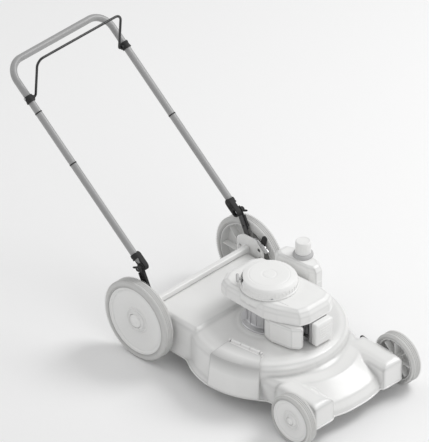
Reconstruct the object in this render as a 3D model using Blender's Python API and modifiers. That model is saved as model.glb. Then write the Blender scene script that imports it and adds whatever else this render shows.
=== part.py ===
"""Walk-behind rotary lawn mower with a folding U-shaped handle, in metres.

+X is forwards, +Y is the operator's left and +Z is up. The origin is on the ground, under the
middle of the machine's length. Distances ahead are counted from the rear axle and turned into the
machine's own frame by spot().
"""

import math

import bmesh
import bpy
from mathutils import Matrix, Vector

# ---------------------------------------------------------------- driving dimensions, in metres
GAP = 0.0003                    # between pieces that touch
RUNNING = 0.0005                # radial clearance of a turning fit

REAR_WHEEL_R = 0.152
REAR_WHEEL_WIDTH = 0.045
FRONT_WHEEL_R = 0.095
FRONT_WHEEL_WIDTH = 0.045
FRONT_WIDTH = 0.552             # over the front wheels
WHEELBASE = 0.731
TYRE_SHARE = 0.16               # of a wheel's radius that is tyre
WHEEL_STEPS = 32                # even quarters, so that a flat of the tread is at the bottom
AXLE_R = 0.006
LEVER_CLEARANCE = 0.0009        # between the rear height lever's grip and the wheel

HANDLE_TUBE_R = 0.0127
HANDLE_WIDTH = 0.462            # between the centres of the two tubes
HANDLE_LENGTH = 0.837           # fold pivot to the middle of the crossbar
HANDLE_SLOPE = math.radians(37.9)
HANDLE_CORNER_R = 0.065
HANDLE_PIVOT_AHEAD = -0.023
HANDLE_PIVOT_UP = 0.341
TAB_THICKNESS = 0.008           # flattened lower end of the tube
TAB_LENGTH = 0.038
PIVOT_BOLT_R = 0.004
STRAP_THICKNESS = 0.003
STRAP_WIDTH = 0.025
STRAP_FOOT = Vector((0.050, -0.100))    # from the fold pivot to the lower bolt, ahead and up

BAIL_WIRE_R = 0.0045
BAIL_ALONG = 0.696              # fold pivot to bail pivot, along the tube
BAIL_ARM = 0.151
BAIL_INSET = 0.0295             # of the bail's arms from the tubes' centres
BAIL_LEAN = math.radians(86.4)  # of the released arm, from straight ahead
BAIL_CORNER_R = 0.028

WALL = 0.0025                   # deck sheet
HOUSING_R = 0.273
FLANGE_OUT = 0.015
HOUSING_BOTTOM = 0.056
HOUSING_TOP = 0.192
PLATEAU_IN = 0.033              # from the housing's side to the edge of its flat top
SPINDLE_AHEAD = 0.360
REAR_BOX_BACK = 0.020
REAR_BOX_FRONT = 0.235
REAR_BOX_TOP = 0.200
REAR_BOX_BOTTOM = 0.080
EASE = 0.012                    # of the rear box's upper edges
NOSE_AHEAD = 0.500              # middle of the nose's round top
NOSE_IN = 0.068                 # from the housing's side to the nose's
NOSE_TOP = 0.146
LIP_OVERHANG = 0.069            # of the nose's lip beyond the front axle
LIP_BOTTOM = 0.062
SHOULDER_OVERHANG = 0.061       # of the shoulders beyond the front axle
SHOULDER_LENGTH = 0.192
SHOULDER_HALF_WIDTH = 0.214
SHOULDER_TOP = 0.148

CRANK_R = 0.0125
BLADE_TIP_CLEARANCE = 0.006
BLADE_UP = 0.078
BLADE_THICKNESS = 0.003
BLADE_WIDTH = 0.052

DOOR_START = math.radians(-92)  # about the spindle, from straight ahead
DOOR_END = math.radians(-52)
DOOR_THICKNESS = 0.0025
DOOR_HINGE_REAR = Vector((-0.0110, -0.7033))    # from the spindle, as shares of the housing's radius
DOOR_HINGE_FRONT = Vector((0.5092, -0.6300))
DOOR_HINGE_UP = 0.2075
DOOR_HINGE_ROD_R = 0.003
FLAP_ROD_R = 0.003
FLAP_ROD_UP = 0.176

REAR_PIVOT = Vector((0.055, 0.165))     # cranked rear axle's pivot, ahead and up
FRONT_PIVOT_BACK = 0.051        # of the front crank's pivot behind the wheels
FRONT_PIVOT_UP = 0.107
CRANK_PLATE = 0.003
LEVER_THICKNESS = 0.003
LEVER_WIDTH = 0.016
LEVER_GRIP_SWELL = 0.0022
REAR_LEVER_LEAN = math.radians(20)      # from straight up, towards the front
REAR_LEVER_REACH = 0.120
FRONT_LEVER_LEAN = math.radians(-82)    # it lies along the deck, towards the back
FRONT_LEVER_REACH = 0.090

BLOCK_R = 0.078
BLOCK_TOP = 0.284
SHROUD_BOTTOM = 0.2885
SHROUD_SIDE = 0.318
SHROUD_TOP = 0.343
SHROUD_WALL = 0.0025
RECOIL_R = 0.1025
RECOIL_TOP = 0.387
FLYWHEEL_R = 0.080
FLYWHEEL_BOTTOM = 0.296
CAP_R = 0.0275
CAP_AT = Vector((0.348, 0.176))
CAP_TOP = 0.432

# ---------------------------------------------------------------- places that follow from them
HANDLE_DIRECTION = Vector((-math.cos(HANDLE_SLOPE), 0.0, math.sin(HANDLE_SLOPE)))
REAR_REACH = HANDLE_PIVOT_AHEAD - HANDLE_LENGTH * math.cos(HANDLE_SLOPE) - HANDLE_TUBE_R
FRONT_REACH = WHEELBASE + FRONT_WHEEL_R
REAR_AXLE_X = -(REAR_REACH + FRONT_REACH) / 2

TAB_OUTER = HANDLE_WIDTH / 2 + TAB_THICKNESS / 2
STRAP_INNER = TAB_OUTER + GAP
STRAP_OUTER = STRAP_INNER + STRAP_THICKNESS
BRACKET_OUTER = STRAP_INNER - GAP
BRACKET_THICKNESS = 0.003
REAR_BOX_HALF = BRACKET_OUTER - BRACKET_THICKNESS - GAP
REAR_CRANK_INNER = STRAP_OUTER + GAP
REAR_LEVER_INNER = REAR_CRANK_INNER + CRANK_PLATE + GAP
REAR_WHEEL_INNER = REAR_LEVER_INNER + LEVER_THICKNESS + LEVER_GRIP_SWELL + LEVER_CLEARANCE
FRONT_PIVOT = Vector((WHEELBASE - FRONT_PIVOT_BACK, FRONT_PIVOT_UP))
LIP_AHEAD = WHEELBASE + LIP_OVERHANG
SHOULDER_FRONT = WHEELBASE + SHOULDER_OVERHANG
SHOULDER_BACK = SHOULDER_FRONT - SHOULDER_LENGTH
PLATEAU_R = HOUSING_R - PLATEAU_IN
NOSE_HALF = HOUSING_R - NOSE_IN
NOSE_TOP_R = NOSE_HALF + 0.001
FLANGE_R = HOUSING_R + FLANGE_OUT
BAIL_WIDTH = HANDLE_WIDTH - 2 * BAIL_INSET
FRONT_WHEEL_INNER = FRONT_WIDTH / 2 - FRONT_WHEEL_WIDTH
FLAP_HALF = REAR_BOX_HALF - 0.030
FRONT_PAD_OUTER = SHOULDER_HALF_WIDTH + 0.003
FRONT_CRANK_INNER = FRONT_PAD_OUTER + GAP
THROUGH = 2 * HANDLE_WIDTH      # length of a cutter that passes through both sides
SIDES = (("right", -1), ("left", 1))


def spot(ahead, left, up):
    """A point that far ahead of the rear axle, left of the middle and above the ground."""
    return Vector((ahead + REAR_AXLE_X, left, up))


FOLD_PIVOT = spot(HANDLE_PIVOT_AHEAD, 0, HANDLE_PIVOT_UP)
BAIL_PIVOT = FOLD_PIVOT + BAIL_ALONG * HANDLE_DIRECTION
FLAP_ROD_AT = spot(REAR_BOX_BACK - 0.010, 0, FLAP_ROD_UP)
SPINDLE = spot(SPINDLE_AHEAD, 0, 0)

# ---------------------------------------------------------------- collections and materials
for leftover in list(bpy.data.objects):
    bpy.data.objects.remove(leftover, do_unlink=True)

PARTS = bpy.data.collections.new("push_lawn_mower")
CUTTERS = bpy.data.collections.new("cutters")
bpy.context.scene.collection.children.link(PARTS)
bpy.context.scene.collection.children.link(CUTTERS)


def finish(name, colour, roughness, metallic=0.0):
    """A plain material."""
    made = bpy.data.materials.new(name)
    made.use_nodes = True
    shader = made.node_tree.nodes["Principled BSDF"]
    shader.inputs["Base Color"].default_value = (*colour, 1)
    shader.inputs["Roughness"].default_value = roughness
    shader.inputs["Metallic"].default_value = metallic
    return made


DECK_PAINT = finish("deck_paint", (0.80, 0.80, 0.79), 0.35)
WHITE_PLASTIC = finish("white_plastic", (0.84, 0.84, 0.83), 0.42)
HANDLE_PAINT = finish("handle_paint", (0.50, 0.50, 0.50), 0.38)
BLACK_PLASTIC = finish("black_plastic", (0.020, 0.020, 0.021), 0.5)
GREY_PLASTIC = finish("grey_plastic", (0.50, 0.50, 0.50), 0.5)
BLACK_STEEL = finish("black_steel", (0.024, 0.024, 0.025), 0.35, 0.3)
TYRE_RUBBER = finish("tyre_rubber", (0.62, 0.62, 0.61), 0.75)
WHEEL_PLASTIC = finish("wheel_plastic", (0.82, 0.82, 0.81), 0.45)
BARE_STEEL = finish("bare_steel", (0.60, 0.60, 0.60), 0.3, 1.0)
CAST_ALLOY = finish("cast_alloy", (0.66, 0.66, 0.67), 0.5, 0.8)
FLAP_RUBBER = finish("flap_rubber", (0.30, 0.30, 0.30), 0.8)


# ---------------------------------------------------------------- building blocks
def turned(axis):
    """The rotation that takes +Z to the named axis."""
    return {
        "Z": Matrix.Identity(4),
        "Y": Matrix.Rotation(-math.pi / 2, 4, "X"),
        "X": Matrix.Rotation(math.pi / 2, 4, "Y"),
    }[axis]


def cylinder(radius, length, centre, axis="Z", steps=24, tilt=None):
    """A builder of a round bar about its centre."""
    def build(bm):
        bmesh.ops.create_cone(
            bm, cap_ends=True, segments=steps, radius1=radius, radius2=radius, depth=length,
            matrix=Matrix.Translation(centre) @ (tilt or turned(axis)),
        )
    return build


def block(size, centre, tilt=None):
    """A builder of a box about its centre."""
    def build(bm):
        scale = Matrix.Diagonal((*size, 1))
        bmesh.ops.create_cube(bm, size=1, matrix=Matrix.Translation(centre) @ (tilt or Matrix()) @ scale)
    return build


def hull(points):
    """A builder of the smallest convex solid round the points."""
    def build(bm):
        corners = [bm.verts.new(point) for point in points]
        made = bmesh.ops.convex_hull(bm, input=corners)
        inside = set(made["geom_interior"] + made["geom_unused"])
        spare = [item for item in inside if isinstance(item, bmesh.types.BMVert)]
        bmesh.ops.delete(bm, geom=spare, context="VERTS")
        bmesh.ops.dissolve_limit(bm, angle_limit=0.001, verts=bm.verts, edges=bm.edges)
    return build


def ring(ahead, radius, up, steps=32):
    """Points of a level circle."""
    angles = [2 * math.pi * i / steps for i in range(steps)]
    return [spot(ahead + radius * math.cos(a), radius * math.sin(a), up) for a in angles]


def outline(corners, up, inset=0.0):
    """Level corners given as (ahead, left), pulled towards their middle by inset."""
    middle = Vector((sum(c[0] for c in corners), sum(c[1] for c in corners))) / len(corners)
    points = []
    for corner in corners:
        out = Vector(corner) - middle
        at = middle + out * (1 - inset / out.length)
        points.append(spot(at.x, at.y, up))
    return points


def collected(obj, collection, material):
    """Links an object to its collection and gives it its material; cutters are kept out of the render."""
    collection.objects.link(obj)
    obj.data.materials.append(material)
    if collection is CUTTERS:
        obj.hide_render = True
        obj.display_type = "WIRE"
    return obj


def solid(name, material, build, origin=Vector(), collection=PARTS, smooth=True):
    """An object from a bmesh builder that works in the machine's frame, its origin at origin."""
    bm = bmesh.new()
    build(bm)
    bmesh.ops.recalc_face_normals(bm, faces=bm.faces)
    bmesh.ops.translate(bm, verts=bm.verts, vec=-origin)
    mesh = bpy.data.meshes.new(name)
    bm.to_mesh(mesh)
    bm.free()
    obj = collected(bpy.data.objects.new(name, mesh), collection, material)
    obj.location = origin
    if smooth:
        mesh.shade_smooth()
        mesh.set_sharp_from_angle(angle=math.radians(35))
    return obj


def lathe(name, material, profile, origin, axis="Z", steps=32, closed=True, collection=PARTS, flip=False):
    """A turned piece. The profile's points are (radius, height), down the outer side."""
    mesh = bpy.data.meshes.new(name)
    points = [(radius, 0, height) for radius, height in profile]
    edges = [(i, i + 1) for i in range(len(points) - 1)]
    if closed:
        edges.append((len(points) - 1, 0))
    mesh.from_pydata(points, edges, [])
    obj = collected(bpy.data.objects.new(name, mesh), collection, material)
    screw = obj.modifiers.new("turn", "SCREW")
    screw.steps = screw.render_steps = steps
    screw.use_merge_vertices = True
    screw.merge_threshold = 0.00001
    screw.use_smooth_shade = True
    obj.location = origin
    half_step = Matrix.Rotation(math.pi / steps, 4, "Z")
    facing = turned(axis) if not flip else turned(axis) @ Matrix.Rotation(math.pi, 4, "X")
    obj.rotation_euler = (facing @ half_step).to_euler()
    return obj


def wire(name, material, points, radius, origin=Vector(), resolution=4):
    """A round rod along straight runs between points, made a mesh so that it can be joined or cut."""
    path = bpy.data.curves.new(name, "CURVE")
    path.dimensions = "3D"
    path.bevel_depth = radius
    path.bevel_resolution = resolution
    path.use_fill_caps = True
    spline = path.splines.new("POLY")
    spline.points.add(len(points) - 1)
    for slot, point in zip(spline.points, points):
        slot.co = (*(point - origin), 1)
    guide = bpy.data.objects.new(name + "_path", path)
    CUTTERS.objects.link(guide)
    guide.location = origin
    bpy.context.view_layer.update()
    graph = bpy.context.evaluated_depsgraph_get()
    mesh = bpy.data.meshes.new_from_object(guide.evaluated_get(graph))
    bm = bmesh.new()
    bm.from_mesh(mesh)
    bmesh.ops.remove_doubles(bm, verts=bm.verts, dist=0.00001)
    bm.to_mesh(mesh)
    bm.free()
    mesh.name = name
    obj = bpy.data.objects.new(name, mesh)
    obj.matrix_world = guide.matrix_world
    bpy.data.objects.remove(guide)
    mesh.materials.clear()
    mesh.shade_smooth()
    mesh.set_sharp_from_angle(angle=math.radians(50))
    return collected(obj, PARTS, material)


def combine(obj, others, operation):
    """Joins helper solids to obj or cuts them from it."""
    for index, other in enumerate(others):
        change = obj.modifiers.new(f"{operation.lower()}_{index}", "BOOLEAN")
        change.operation = operation
        change.object = other
        change.solver = "EXACT"
    return obj


def helper(name, build):
    """A solid that only joins or cuts another."""
    return solid(name, DECK_PAINT, build, collection=CUTTERS, smooth=False)


def rounded(obj, width, segments=2, angle=35):
    """Rounds an object's sharp edges."""
    bevel = obj.modifiers.new("edges", "BEVEL")
    bevel.width = width
    bevel.segments = segments
    bevel.limit_method = "ANGLE"
    bevel.angle_limit = math.radians(angle)
    return obj


def upright_plate(name, material, corners, inner, outer, side, origin=Vector(), collection=PARTS):
    """A plate parallel to the side of the machine; corners are (ahead, up) of its convex outline."""
    points = [spot(ahead, side * left, up) for ahead, up in corners for left in (inner, outer)]
    return solid(name, material, hull(points), origin, collection)


def slot_outline(start, end, radius, steps=8):
    """The outline of a bar with round ends, as (ahead, up) points."""
    run = Vector(end) - Vector(start)
    heading = math.atan2(run.y, run.x)
    points = []
    for centre, turn in ((start, math.pi / 2), (end, -math.pi / 2)):
        for i in range(steps + 1):
            a = heading + turn + math.pi * i / steps
            points.append((centre[0] + radius * math.cos(a), centre[1] + radius * math.sin(a)))
    return points


def arc_corner(before, corner, after, radius, steps=6):
    """Points of a round that replaces a corner between two straight runs."""
    a = (before - corner).normalized()
    b = (after - corner).normalized()
    half = a.angle(b) / 2
    centre = corner + (a + b).normalized() * radius / math.sin(half)
    start = corner + a * radius / math.tan(half) - centre
    end = corner + b * radius / math.tan(half) - centre
    sweep = math.pi - 2 * half
    points = []
    for i in range(steps + 1):
        turn = sweep * i / steps
        points.append(centre + (start * math.sin(sweep - turn) + end * math.sin(turn)) / math.sin(sweep))
    return points


def cross_bolt(name, material, at, side, inner, outer, head_r, head_thick, shank_r=PIVOT_BOLT_R):
    """A bolt along Y with its head outboard; inner and outer are its shank's ends."""
    middle = Vector((at.x, side * (inner + outer) / 2, at.z))
    head = Vector((at.x, side * (outer + head_thick / 2), at.z))

    def build(bm):
        cylinder(shank_r, outer - inner + 0.001, middle, "Y", 16)(bm)
    bolt = solid(name, material, build, Vector((at.x, side * outer, at.z)))
    cap = helper(name + "_head", cylinder(head_r, head_thick, head, "Y", 16))
    return combine(bolt, [cap], "UNION")


# ---------------------------------------------------------------- deck
def nose_outline(up, reach, half):
    """A rounded plan outline of the nose: reach ahead at the middle, half its greatest half width."""
    points = []
    for i in range(-6, 7):
        a = math.pi / 2 * i / 6
        wide = half * math.copysign(abs(math.sin(a)) ** 0.8, a)
        points.append(spot(NOSE_AHEAD + (reach - NOSE_AHEAD) * abs(math.cos(a)) ** 0.45, wide, up))
    points += [spot(NOSE_AHEAD - 0.05, side * half * 0.9, up) for side in (-1, 1)]
    return points


def nose(inset, bottom):
    """The deck's nose: a round top that falls to a wide lip, shrunk by inset."""
    return hull(
        nose_outline(bottom, LIP_AHEAD - inset, NOSE_HALF - inset)
        + nose_outline(0.100, LIP_AHEAD - 0.020 - inset, NOSE_HALF - 0.005 - inset)
        + ring(NOSE_AHEAD, NOSE_TOP_R + 0.012 - inset, NOSE_TOP - 0.015 - inset / 2, 32)
        + ring(NOSE_AHEAD, NOSE_TOP_R - inset, NOSE_TOP - inset, 32)
    )


def shoulder(side, inset, bottom):
    """The box over a front wheel's axle, shrunk by inset."""
    back, front, half = SHOULDER_BACK, SHOULDER_FRONT - inset, SHOULDER_HALF_WIDTH - inset
    low = [(back, 0.120), (front, 0.120), (front, half), (back, half)]
    top = [(back + 0.010, 0.150), (front - 0.012, 0.150), (front - 0.022, half - 0.009),
           (back + 0.010, half - 0.009)]
    levels = ((low, bottom), (low, SHOULDER_TOP - 0.018 - inset), (top, SHOULDER_TOP - inset))
    return hull([spot(a, side * l, up) for corners, up in levels for a, l in corners])


def rear_box(inset, bottom):
    """The box behind the housing, shrunk by inset."""
    half = REAR_BOX_HALF - inset
    back, front, top = REAR_BOX_BACK + inset, REAR_BOX_FRONT - inset, REAR_BOX_TOP - inset
    low = [(back, -half), (front, -half), (front, half), (back, half)]
    high = [(back + EASE, EASE - half), (front - EASE, EASE - half),
            (front - EASE, half - EASE), (back + EASE, half - EASE)]
    levels = ((low, bottom), (low, top - EASE), (high, top))
    return hull([spot(a, l, up) for corners, up in levels for a, l in corners])


def housing_profile(grow, bottom):
    """The outside of the round housing as (radius, height) points, grown by grow."""
    return [
        (0.001, HOUSING_TOP + grow), (PLATEAU_R + grow / 2, HOUSING_TOP + grow),
        (PLATEAU_R + 0.022 + grow / 2, HOUSING_TOP - 0.006 + grow),
        (HOUSING_R + grow, HOUSING_TOP - 0.022 + grow / 2),
        (HOUSING_R + grow, bottom),
    ]


def build_deck():
    """The pressed shell: round housing, nose and shoulders in one sheet, with pads and lugs welded on."""
    below = HOUSING_BOTTOM - 0.02
    profile = housing_profile(0, HOUSING_BOTTOM + 0.006) + [
        (FLANGE_R, HOUSING_BOTTOM + WALL), (FLANGE_R, HOUSING_BOTTOM), (0.001, HOUSING_BOTTOM),
    ]
    deck = lathe("deck_shell", DECK_PAINT, profile, SPINDLE, steps=48)
    adds = [
        helper("nose_body", nose(0, LIP_BOTTOM)),
        helper("right_shoulder_body", shoulder(-1, 0, LIP_BOTTOM)),
        helper("left_shoulder_body", shoulder(1, 0, LIP_BOTTOM)),
    ]
    adds += front_bracket_bodies() + door_lug_bodies()
    combine(deck, adds, "UNION")
    chamber = lathe("chamber_hollow", DECK_PAINT, [
        (0.001, HOUSING_TOP - WALL), (PLATEAU_R - 0.002, HOUSING_TOP - WALL),
        (PLATEAU_R + 0.019, HOUSING_TOP - 0.006 - WALL), (HOUSING_R - WALL, HOUSING_TOP - 0.024 - WALL / 2),
        (HOUSING_R - WALL, below), (0.001, below),
    ], SPINDLE, steps=48, collection=CUTTERS)
    opening = math.radians(2)
    mouth = helper("discharge_mouth", hull([
        spot(SPINDLE_AHEAD + r * math.cos(a), r * math.sin(a), up)
        for r in (HOUSING_R - 0.043, HOUSING_R + 0.057) for up in (below, HOUSING_TOP - 0.030)
        for a in [DOOR_START + opening + (DOOR_END - DOOR_START - 2 * opening) * i / 4 for i in range(5)]
    ]))
    hinge_at, _, hinge_yaw = door_hinge_frame()
    rod_at = spot(FRONT_PIVOT.x, 0, FRONT_PIVOT.y)
    cuts = [
        chamber,
        helper("nose_hollow", nose(WALL, below)),
        helper("right_shoulder_hollow", shoulder(-1, WALL, below)),
        helper("left_shoulder_hollow", shoulder(1, WALL, below)),
        mouth,
        helper("crank_hole", cylinder(0.034, 0.1, SPINDLE + Vector((0, 0, HOUSING_TOP)), "Z", 32)),
        helper("front_rod_hole", cylinder(AXLE_R + RUNNING, 3 * SHOULDER_HALF_WIDTH, rod_at, "Y", 20)),
        helper("door_rod_hole",
               cylinder(DOOR_HINGE_ROD_R + GAP, 0.4, hinge_at, tilt=hinge_yaw @ turned("X"), steps=16)),
    ]
    combine(deck, cuts, "DIFFERENCE")


def build_rear_box():
    """The box that closes the back of the deck and carries the handle, the rear axle and the flap."""
    below = REAR_BOX_BOTTOM - 0.02
    box = solid("rear_deck_box", DECK_PAINT, rear_box(0, REAR_BOX_BOTTOM))
    combine(box, flap_ear_bodies(), "UNION")
    housing = lathe("rear_box_seat", DECK_PAINT, housing_profile(GAP, below) + [(0.001, below)], SPINDLE,
                    steps=48, collection=CUTTERS)
    rod_at = spot(REAR_PIVOT.x, 0, REAR_PIVOT.y)
    combine(box, [
        helper("rear_hollow", rear_box(WALL, below)),
        housing,
        helper("rear_rod_hole", cylinder(AXLE_R + RUNNING, THROUGH, rod_at, "Y", 20)),
        helper("flap_rod_hole", cylinder(FLAP_ROD_R + GAP, THROUGH, FLAP_ROD_AT, "Y", 16)),
    ], "DIFFERENCE")


def build_rear_brackets():
    """The side plates that stand on the rear box and hold the straps and the rear axle."""
    for name, side in SIDES:
        corners = [(-0.028, 0.120), (-0.028, 0.235), (0.006, 0.262), (0.060, 0.262), (0.100, 0.225),
                   (0.100, 0.120)]
        plate = upright_plate(f"rear_bracket_{name}", DECK_PAINT, corners,
                              BRACKET_OUTER - BRACKET_THICKNESS, BRACKET_OUTER, side)
        foot = FOLD_PIVOT + Vector((STRAP_FOOT.x, 0, STRAP_FOOT.y))
        holes = [
            helper(f"rear_bracket_{name}_rod_hole",
                   cylinder(AXLE_R + RUNNING, THROUGH, spot(REAR_PIVOT.x, 0, REAR_PIVOT.y), "Y", 20)),
            helper(f"rear_bracket_{name}_bolt_hole", cylinder(PIVOT_BOLT_R + GAP, THROUGH, foot, "Y", 16)),
        ]
        combine(plate, holes, "DIFFERENCE")


def front_bracket_bodies():
    """Thicker pads on the shoulders, round the front axle rod."""
    back, front = FRONT_PIVOT.x - 0.030, FRONT_PIVOT.x + 0.085
    corners = [(back, 0.085), (back, 0.132), (back + 0.014, 0.140), (front - 0.025, 0.140), (front, 0.112),
               (front, 0.085)]
    return [upright_plate(f"front_pad_{name}", DECK_PAINT, corners, SHOULDER_HALF_WIDTH - 0.001,
                          FRONT_PAD_OUTER, side, collection=CUTTERS) for name, side in SIDES]


def flap_ear_bodies():
    """Two ears on the back of the deck that hold the flap's rod."""
    middle = spot(REAR_BOX_BACK - 0.006, 0, FLAP_ROD_UP)
    off = FLAP_HALF + 0.006
    return [helper(f"flap_ear_{name}", block((0.018, 0.004, 0.014), middle + Vector((0, side * off, 0))))
            for name, side in SIDES]


def door_lug_bodies():
    """Two lugs on the deck's top that hold the door's hinge rod."""
    middle, length, yaw = door_hinge_frame()
    low, high = HOUSING_TOP - 0.001, DOOR_HINGE_UP + 0.0055
    lugs = []
    for name, sign in (("rear", -1), ("front", 1)):
        stand = middle + yaw @ Vector((sign * (length / 2 - 0.005), 0, 0))
        stand.z = (low + high) / 2
        lugs.append(helper(f"door_lug_{name}", block((0.006, 0.010, high - low), stand, yaw)))
    return lugs


def build_rear_flap():
    """The trailing shield and the rod that it swings on, close behind the deck."""
    rod_at = FLAP_ROD_AT
    half = FLAP_HALF
    solid("flap_rod", BARE_STEEL, cylinder(FLAP_ROD_R, 2 * half + 0.024, rod_at, "Y", 16), rod_at)
    flap = solid("rear_flap", FLAP_RUBBER, cylinder(0.0062, 2 * half, rod_at, "Y", 16), rod_at)
    sheet = helper("flap_sheet", block((0.004, 2 * half, 0.130), rod_at + Vector((-0.001, 0, -0.069))))
    combine(flap, [sheet], "UNION")
    bore = helper("flap_bore", cylinder(FLAP_ROD_R + RUNNING, THROUGH, rod_at, "Y", 16))
    combine(flap, [bore], "DIFFERENCE")


# ---------------------------------------------------------------- side discharge door
def door_hinge_frame():
    """The hinge's middle and the rotation that takes +X along it."""
    start, end = (SPINDLE + Vector((*(share * HOUSING_R), DOOR_HINGE_UP))
                  for share in (DOOR_HINGE_REAR, DOOR_HINGE_FRONT))
    along = (end - start).normalized()
    return (start + end) / 2, (end - start).length, Matrix.Rotation(math.atan2(along.y, along.x), 4, "Z")


def build_door():
    """The hinged cover over the side discharge, with its rod."""
    middle, length, yaw = door_hinge_frame()
    angles = [DOOR_START + (DOOR_END - DOOR_START) * i / 8 for i in range(9)]
    top_r, bottom_r = HOUSING_R + 0.0015 + DOOR_THICKNESS, FLANGE_R + 0.004
    top_up, bottom_up = HOUSING_TOP - 0.004, HOUSING_BOTTOM + WALL + 0.002

    def panel(bm):
        rows = []
        for radius, up in ((bottom_r, bottom_up), (top_r, top_up)):
            rows.append([spot(SPINDLE_AHEAD + radius * math.cos(a), radius * math.sin(a), up) for a in angles])
        strip = []
        for i, point in enumerate(rows[1]):
            along = (i / (len(angles) - 1) - 0.5) * length
            strip.append(middle + yaw @ Vector((along, -0.0098, -0.0015)))
        rows.append(strip)
        corners = [[bm.verts.new(p) for p in row] for row in rows]
        for low, high in zip(corners, corners[1:]):
            for i in range(len(low) - 1):
                bm.faces.new((low[i], low[i + 1], high[i + 1], high[i]))

    door = solid("discharge_door", DECK_PAINT, panel, middle)
    thick = door.modifiers.new("sheet", "SOLIDIFY")
    thick.thickness = DOOR_THICKNESS
    thick.offset = -1
    thick.use_even_offset = True
    barrel_r = 0.0066
    barrel = helper("door_barrel", cylinder(barrel_r, length - 0.024, middle, tilt=yaw @ turned("X"), steps=16))
    leaf_at = middle + yaw @ Vector((0, -0.0075, -0.0028))
    leaf = helper("door_leaf", block((length - 0.024, 0.010, DOOR_THICKNESS), leaf_at, yaw))
    combine(door, [barrel, leaf], "UNION")
    tilt = yaw @ turned("X")
    bore = helper("door_bore", cylinder(DOOR_HINGE_ROD_R + RUNNING, 0.4, middle, tilt=tilt, steps=16))
    combine(door, [bore], "DIFFERENCE")
    solid("door_hinge_rod", BARE_STEEL, cylinder(DOOR_HINGE_ROD_R, length, middle, tilt=tilt, steps=16), middle)


# ---------------------------------------------------------------- wheels and their cranked axles
def wheel_set(label, name, side, at, radius, width, inner):
    """Tyre, wheel and hub cap of one wheel; at is the axle's height and place, inner its inboard face."""
    centre = Vector((at.x, side * (inner + width / 2), at.z))
    outer_r = radius / math.cos(math.pi / WHEEL_STEPS)
    seat_r = radius * (1 - TYRE_SHARE)
    half = width / 2
    flip = side < 0
    tyre = [
        (seat_r, half - 0.001), (seat_r + radius * 0.05, half), (outer_r - 0.006, half - 0.003),
        (outer_r, half - 0.011), (outer_r, 0.011 - half), (outer_r - 0.006, 0.003 - half),
        (seat_r + radius * 0.05, -half), (seat_r, 0.001 - half),
    ]
    lathe(f"{label}_{name}_tyre", TYRE_RUBBER, tyre, centre, "Y", WHEEL_STEPS, flip=flip)
    rim_r = seat_r - GAP
    boss_r = 0.030 if radius > 0.12 else 0.0185
    bore = AXLE_R + RUNNING
    wheel = [
        (bore, half - 0.009), (boss_r - 0.004, half - 0.009), (boss_r - 0.003, half - 0.001),
        (boss_r, half - 0.001), (boss_r + 0.004, half - 0.009), (rim_r - 0.010, half - 0.007),
        (rim_r - 0.006, half - 0.002),
        (rim_r, half - 0.002), (rim_r, 0.002 - half), (rim_r - 0.008, half - 0.013),
        (boss_r + 0.002, half - 0.015), (boss_r, 0.004 - half), (bore, 0.004 - half),
    ]
    lathe(f"{label}_{name}_wheel", WHEEL_PLASTIC, wheel, centre, "Y", WHEEL_STEPS, flip=flip)
    cap_r = boss_r - 0.0045
    cap = [(0, half), (cap_r * 0.7, half - 0.0005), (cap_r, half - 0.003), (cap_r, half - 0.009 + GAP),
           (0, half - 0.009 + GAP)]
    lathe(f"{label}_{name}_hub_cap", WHEEL_PLASTIC, cap, centre, "Y", 16, closed=False, flip=flip)


def cranked_axle(label, pivot, axle, crank_inner, wheel_inner, wheel_width):
    """A rod across the deck, a crank plate at each end and the two stubs that carry the wheels."""
    origin = spot(pivot.x, 0, pivot.y)
    stub_out = wheel_inner + wheel_width - 0.0105
    crank_outer = crank_inner + CRANK_PLATE
    rod = wire(f"{label}_axle", BARE_STEEL, [origin - Vector((0, crank_outer - 0.001, 0)),
                                             origin + Vector((0, crank_outer - 0.001, 0))], AXLE_R, origin, 4)
    adds = []
    for name, side in SIDES:
        corners = slot_outline((pivot.x, pivot.y), (axle.x - REAR_AXLE_X, axle.z), 0.011)
        adds.append(upright_plate(f"{label}_{name}_crank", BARE_STEEL, corners, crank_inner, crank_outer,
                                  side, collection=CUTTERS))
        middle = Vector((axle.x, side * (crank_inner + stub_out) / 2, axle.z))
        stub_length = stub_out - crank_inner - 0.001
        adds.append(helper(f"{label}_{name}_stub", cylinder(AXLE_R, stub_length, middle, "Y", 20)))
    return combine(rod, adds, "UNION")


def height_lever(label, pivot, lean, length, inner):
    """The hand lever on the left that turns a cranked axle, with a grip at its top."""
    tip = (pivot.x + length * math.sin(lean), pivot.y + length * math.cos(lean))
    origin = spot(pivot.x, inner, pivot.y)
    shape = slot_outline((pivot.x, pivot.y), tip, LEVER_WIDTH / 2)
    lever = upright_plate(f"{label}_height_lever", BARE_STEEL, shape, inner, inner + LEVER_THICKNESS, 1, origin)
    start = (pivot.x + (length - 0.026) * math.sin(lean), pivot.y + (length - 0.026) * math.cos(lean))
    grip = slot_outline(start, tip, LEVER_WIDTH / 2 + 0.003)
    knob = upright_plate(f"{label}_lever_knob", BLACK_PLASTIC, grip,
                         inner - LEVER_GRIP_SWELL, inner + LEVER_THICKNESS + LEVER_GRIP_SWELL, 1, origin)
    socket = upright_plate(f"{label}_lever_socket", BLACK_PLASTIC,
                           slot_outline((pivot.x, pivot.y), tip, LEVER_WIDTH / 2 + GAP),
                           inner - GAP, inner + LEVER_THICKNESS + GAP, 1, collection=CUTTERS)
    combine(knob, [socket], "DIFFERENCE")
    return lever


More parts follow.
